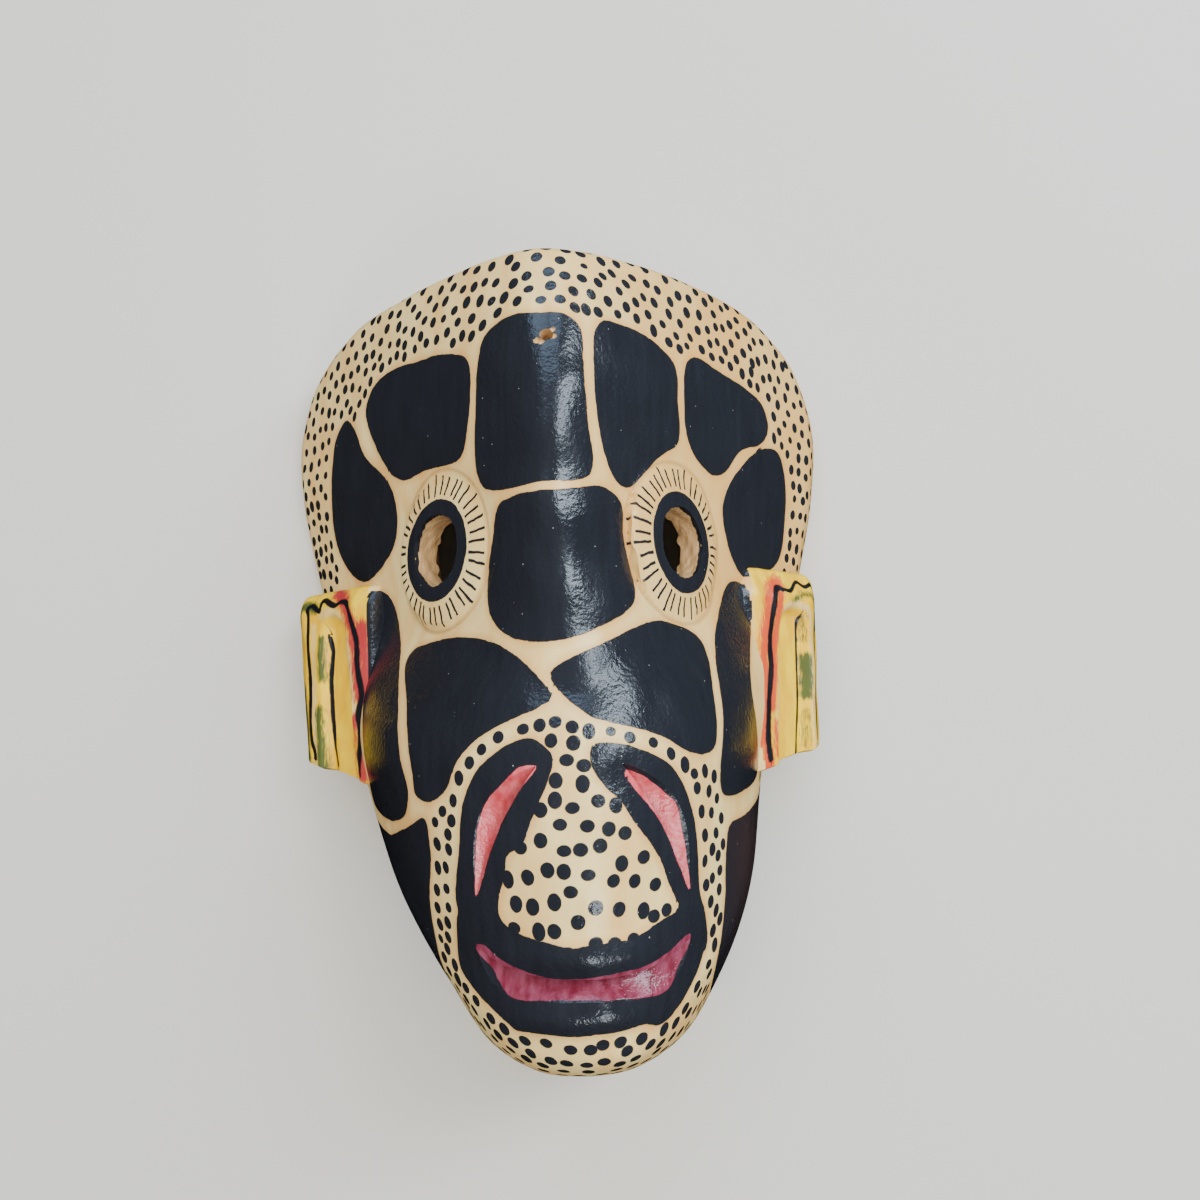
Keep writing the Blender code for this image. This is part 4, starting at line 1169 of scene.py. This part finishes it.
bend = stretched(tree, place, (0.5, 0.5, 0.5))
bend = add(tree, "MapRange", {"Value": bend, "To Min": -0.4, "To Max": 0.4})
across = add(tree, "Math", {0: off, 1: arc, 2: bend}, operation="MULTIPLY_ADD")
across = add(tree, "Math", {0: across}, operation="ABSOLUTE")
across = add(tree, "Math", {0: across, 1: STROKE_HALF}, operation="SUBTRACT")
near, far = (
    add(tree, "MapRange", {"Value": chance.outputs[k], "To Min": least, "To Max": most})
    for k, (least, most) in ((1, STROKE_NEAR), (2, STROKE_FAR))
)
from_near = add(tree, "Math", {0: near, 1: radius}, operation="SUBTRACT")
from_far = add(tree, "Math", {0: radius, 1: far}, operation="SUBTRACT")
stroke = add(tree, "Math", {0: across, 1: from_near}, operation="MAXIMUM")
stroke = add(tree, "Math", {0: stroke, 1: from_far}, operation="MAXIMUM")
ring = add(tree, "Math", {0: radius, 1: EYE_RING}, operation="SUBTRACT")
ring = wobbled(tree, ring, place, 0.22)
dark = add(tree, "Math", {0: dark, 1: stroke}, operation="MINIMUM")
dark = add(tree, "Math", {0: dark, 1: ring}, operation="MINIMUM")
black_share = edged(tree, dark)
red_share = edged(tree, wobbled(tree, red, place, 0.2))

streaks = stretched(tree, place, (0.16, 0.035, 0.16), 4.0)
streak_share = {"Value": streaks, "From Min": 0.44, "From Max": 0.72, "To Max": 0.75}
streak_share = add(tree, "MapRange", streak_share)
patches = stretched(tree, place, (0.045, 0.03, 0.045), 3.0, 3.0)
patch_share = {"Value": patches, "From Min": 0.45, "From Max": 0.7, "To Max": 0.5}
patch_share = add(tree, "MapRange", patch_share)
ground = mixed(tree, streak_share, colour("#edd28e"), colour("#e3b062"))
ground = mixed(tree, patch_share, ground, colour("#d99f52"))
by_edge = add(tree, "MapRange", {"Value": edge, "From Min": 2.0, "From Max": 0.1, "To Max": 0.5})
ground = mixed(tree, by_edge, ground, colour("#cc8d43"))
to_right = {"Value": mask_x, "From Min": -15.0, "From Max": 45.0, "To Min": 0.05, "To Max": 0.55}
to_right = add(tree, "MapRange", to_right)
up_face = add(tree, "MapRange", {"Value": mask_y, "From Min": -15.0, "From Max": 15.0, "To Min": 0.3})
glaze_share = add(tree, "Math", {0: to_right, 1: up_face}, operation="MULTIPLY")
ground = mixed(tree, glaze_share, ground, colour("#d5953f"))
# Painted shade: the ground is darkened to brown along the cut round each eye's round, where shade falls in
# the crease.
crease = add(tree, "Math", {0: radius, 1: EYE_ROUND + 0.3}, operation="SUBTRACT")
crease = add(tree, "Math", {0: crease}, operation="ABSOLUTE")
painted_crease_shade = add(tree, "MapRange", {"Value": crease, "From Min": 0.9, "From Max": 0.1, "To Max": 0.55})
ground = mixed(tree, painted_crease_shade, ground, colour("#a8773f"))
brushed = stretched(tree, place, (0.5, 0.06, 0.5), 3.0, 5.0)
right_jaw = add(tree, "MapRange", {"Value": mask_x, "From Min": 38.0, "From Max": 50.0})
low_down = add(tree, "MapRange", {"Value": mask_y, "From Min": -36.0, "From Max": -48.0})
maroon = add(tree, "Math", {0: right_jaw, 1: low_down}, operation="MULTIPLY")
black = mixed(tree, brushed, colour("#1b1c21"), colour("#24262c"))
black = mixed(tree, maroon, black, colour("#3a2c2c"))
mouth_share = add(tree, "MapRange", {"Value": mask_y, "From Min": -58.0, "From Max": -62.0})
smears = stretched(tree, place, (0.5, 0.12, 0.5), 4.0, 8.0)
smear_share = add(tree, "MapRange", {"Value": smears, "From Min": 0.35, "From Max": 0.65})
coral = mixed(tree, smear_share, colour("#bd3d45"), colour("#d66568"))
crimson = mixed(tree, smear_share, colour("#6c1e2f"), colour("#8c4256"))
paint = mixed(tree, black_share, ground, black)
paint = mixed(tree, red_share, paint, mixed(tree, mouth_share, coral, crimson))
dust = add(tree, "TexVoronoi", {"Vector": place, "Scale": 0.42, "Randomness": 1.0})
dust_share = {"Value": dust, "From Min": 0.075, "From Max": 0.05, "To Max": 0.6}
dust_share = add(tree, "MapRange", dust_share)
some = add(tree, "SeparateXYZ", {0: dust.node.outputs["Color"]})
some = add(tree, "Math", {0: some, 1: 0.72}, operation="GREATER_THAN")
dust_share = add(tree, "Math", {0: dust_share, 1: some}, operation="MULTIPLY")
paint = mixed(tree, dust_share, paint, colour("#b9b6ad"))
tree.links.new(paint, shader.inputs["Base Color"])

dull = stretched(tree, place, (0.2, 0.08, 0.2), 3.0, 9.0)
black_gloss, ground_gloss = (
    add(tree, "MapRange", {"Value": dull, "From Min": 0.3, "From Max": 0.7, "To Min": low, "To Max": high})
    for low, high in ((0.13, 0.3), (0.28, 0.42))
)
roughness = add(tree, "Mix", {0: black_share, 2: ground_gloss, 3: black_gloss}, data_type="FLOAT")
tree.links.new(roughness, shader.inputs["Roughness"])
peel = stretched(tree, place, (0.85, 0.85, 0.85), 2.0, 1.0)
fine_peel = stretched(tree, place, (2.2, 2.2, 2.2), 2.0, 2.0)
brush = stretched(tree, place, (1.6, 0.12, 1.6), 3.0, 4.0)
thick = add(tree, "MapRange", {"Value": black_share, "To Min": 0.25, "To Max": 1.0})
peel = add(tree, "Math", {0: peel, 1: thick}, operation="MULTIPLY")
films = ((peel, 0.17), (fine_peel, 0.05), (brush, 0.012), (black_share, 0.05), (red_share, 0.04))
relief(tree, shader, films)
shader.inputs["Specular IOR Level"].default_value = 0.42


# Bare wood, in the hollow, on the rim and in the bores: pale, with grain along the mask, rougher
# where the tool tore it. Black enamel has run a little way over the edge of each eye.

tree, shader, place = start_finish(materials[BARE])
fibres = stretched(tree, place, (0.9, 0.05, 0.9), 5.0)
fibre_share = add(tree, "MapRange", {"Value": fibres, "From Min": 0.35, "From Max": 0.68})
rings = stretched(tree, place, (0.12, 0.012, 0.12), 2.0, 2.0)
ring_share = add(tree, "MapRange", {"Value": rings, "From Min": 0.4, "From Max": 0.62, "To Max": 0.6})
wood = mixed(tree, fibre_share, colour("#a87f50"), colour("#cba876"))
wood = mixed(tree, ring_share, wood, colour("#b58a58"))
eye, radius = on_eye(tree)
in_bore = add(tree, "Math", {0: radius, 1: EYE_HOLE + 0.3}, operation="LESS_THAN")
run_in = add(tree, "Math", {0: 1.2, 1: eye[2]}, operation="SUBTRACT")
run_share = edged(tree, wobbled(tree, run_in, place, 0.7))
run_share = add(tree, "Math", {0: run_share, 1: in_bore}, operation="MULTIPLY")
wood = mixed(tree, run_share, wood, colour("#0f1014"))
tree.links.new(wood, shader.inputs["Base Color"])
shader.inputs["Roughness"].default_value = 0.75
torn = stretched(tree, place, (1.1, 0.2, 1.1), 4.0, 6.0)
relief(tree, shader, ((fibres, 0.35), (torn, 0.3)))


# The ears: the same enamels, brushed on nearly dry, so each colour breaks up at its edge.

tree, shader, place = start_finish(materials[EAR])
tints, lines = (
    add(tree, "SeparateXYZ", {0: add(tree, "Attribute", attribute_name=name).node.outputs["Vector"]}).node
    for name in ("ear_tints", "ear_lines")
)
broken = stretched(tree, place, (1.9, 0.4, 1.9), 5.0)
soft = stretched(tree, place, (0.25, 0.12, 0.25), 3.0, 4.0)
soft_share = add(tree, "MapRange", {"Value": soft, "From Min": 0.4, "From Max": 0.65})
paint = mixed(tree, soft_share, colour("#e6af04"), colour("#f3c70e"))
mask_x = add(tree, "SeparateXYZ", {0: place})
orange_share = add(tree, "MapRange", {"Value": mask_x, "From Min": -20.0, "From Max": 20.0})
red_paint = mixed(tree, orange_share, colour("#a82532"), colour("#cf4426"))
# First the paler tint along the arrises, then red, then green, each broken up at its edge.
for socket, tint, low, high, strong in (
    (2, colour("#d9b878"), 0.2, 0.9, 0.85),
    (0, red_paint, 0.1, 0.8, 0.97),
    (1, colour("#20482a"), 0.15, 0.8, 0.92),
):
    field = add(tree, "Math", {0: broken, 1: 1.9, 2: -0.95}, operation="MULTIPLY_ADD")
    field = add(tree, "Math", {0: tints.outputs[socket], 1: field}, operation="ADD")
    share = add(tree, "MapRange", {"Value": field, "From Min": low, "From Max": high, "To Max": strong})
    covered = add(tree, "Math", {0: tints.outputs[socket], 1: 0.01}, operation="GREATER_THAN")
    paint = mixed(tree, add(tree, "Math", {0: share, 1: covered}, operation="MULTIPLY"), paint, tint)
line = 9.0
for socket in (0, 1):
    away = add(tree, "Math", {0: lines.outputs[socket]}, operation="ABSOLUTE")
    line = add(tree, "Math", {0: line, 1: away}, operation="MINIMUM")
line = add(tree, "Math", {0: line, 1: 1.0}, operation="SUBTRACT")
line_share = edged(tree, wobbled(tree, line, place, 0.22), 0.2)
paint = mixed(tree, line_share, paint, colour("#15151a"))
tree.links.new(paint, shader.inputs["Base Color"])
shader.inputs["Roughness"].default_value = 0.33
brush = stretched(tree, place, (1.6, 0.12, 1.6), 3.0, 4.0)
relief(tree, shader, ((brush, 0.12), (broken, 0.12), (line_share, 0.04)))

for polygon in carved.polygons:
    polygon.use_smooth = True
carved.set_sharp_from_angle(angle=math.radians(38.0))


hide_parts("tigre_mask")
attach(block, "root")


# The floor and the light of a plain photograph studio.


def stage_floor():
    bm = bmesh.new()
    bmesh.ops.create_grid(bm, x_segments=1, y_segments=1, size=3.0)
    mesh = bpy.data.meshes.new("floor")
    bm.to_mesh(mesh)
    bm.free()
    obj = bpy.data.objects.new("floor", mesh)
    bpy.context.scene.collection.objects.link(obj)
    return obj


floor = stage_floor()
floor.visible_glossy = False
paper = bpy.data.materials.new("pale_backdrop_paper")
paper.use_nodes = True
paper.node_tree.nodes["Principled BSDF"].inputs["Base Color"].default_value = colour("#cbc6bd")
paper.node_tree.nodes["Principled BSDF"].inputs["Roughness"].default_value = 0.9
floor.data.materials.append(paper)


def softbox(name, place, target, size, power, tint):
    light = bpy.data.lights.new(name, "AREA")
    light.shape = "RECTANGLE"
    light.size, light.size_y = size
    light.energy = power
    light.color = tint
    obj = bpy.data.objects.new(name, light)
    obj.location = place
    obj.rotation_euler = (Vector(target) - Vector(place)).to_track_quat("-Z", "Y").to_euler()
    bpy.context.scene.collection.objects.link(obj)
    return obj


# Each light's place, what it points at, its size, its power in watts and its tint.
LIGHTS = {
    "overhead": ((-0.1, 0.25, 1.3), (0.0, 0.0, 0.05), (1.8, 1.6), 30.0, (1.0, 0.97, 0.92)),
    "window": ((0.74, 0.48, 0.85), (0.0, 0.0, 0.05), (0.35, 0.8), 16.0, (0.75, 0.89, 1.0)),
    "sky": ((-0.1, 1.1, 0.9), (0.0, 0.0, 0.05), (1.1, 0.6), 10.0, (0.5, 0.72, 1.0)),
    "low_window": ((0.34, -0.7, 1.0), (0.0, -0.07, 0.08), (0.42, 0.3), 6.5, (0.85, 0.94, 1.0)),
}
lights = {name: softbox(name, *settings) for name, settings in LIGHTS.items()}
lights["overhead"].visible_glossy = False
world = bpy.data.worlds.new("studio")
bpy.context.scene.world = world
world.use_nodes = True
world.node_tree.nodes["Background"].inputs["Color"].default_value = (0.8, 0.78, 0.74, 1.0)
world.node_tree.nodes["Background"].inputs["Strength"].default_value = 0.3
world.cycles_visibility.glossy = False


# The camera stands where the photograph was taken from: 295 mm over the table, tipped up a little
# towards the forehead and turned a little to one side.

CAMERA_PLACE = (0.011637, -0.022283, 0.295)
CAMERA_LENS = 27.03
CAMERA_TIP = math.radians(8.5)
CAMERA_ROLL = math.radians(1.6)
camera = bpy.data.objects.new("camera", bpy.data.cameras.new("camera"))
camera.data.lens = CAMERA_LENS
camera.data.clip_start = 0.01
forward = Vector((
    math.sin(CAMERA_TIP) * math.sin(CAMERA_ROLL),
    math.sin(CAMERA_TIP) * math.cos(CAMERA_ROLL),
    -math.cos(CAMERA_TIP),
))
right = Vector((math.cos(CAMERA_ROLL), -math.sin(CAMERA_ROLL), 0.0))
turn = Matrix((right, right.cross(forward), -forward)).transposed()
camera.matrix_world = Matrix.Translation(CAMERA_PLACE) @ turn.to_4x4()
bpy.context.scene.collection.objects.link(camera)
bpy.context.scene.camera = camera
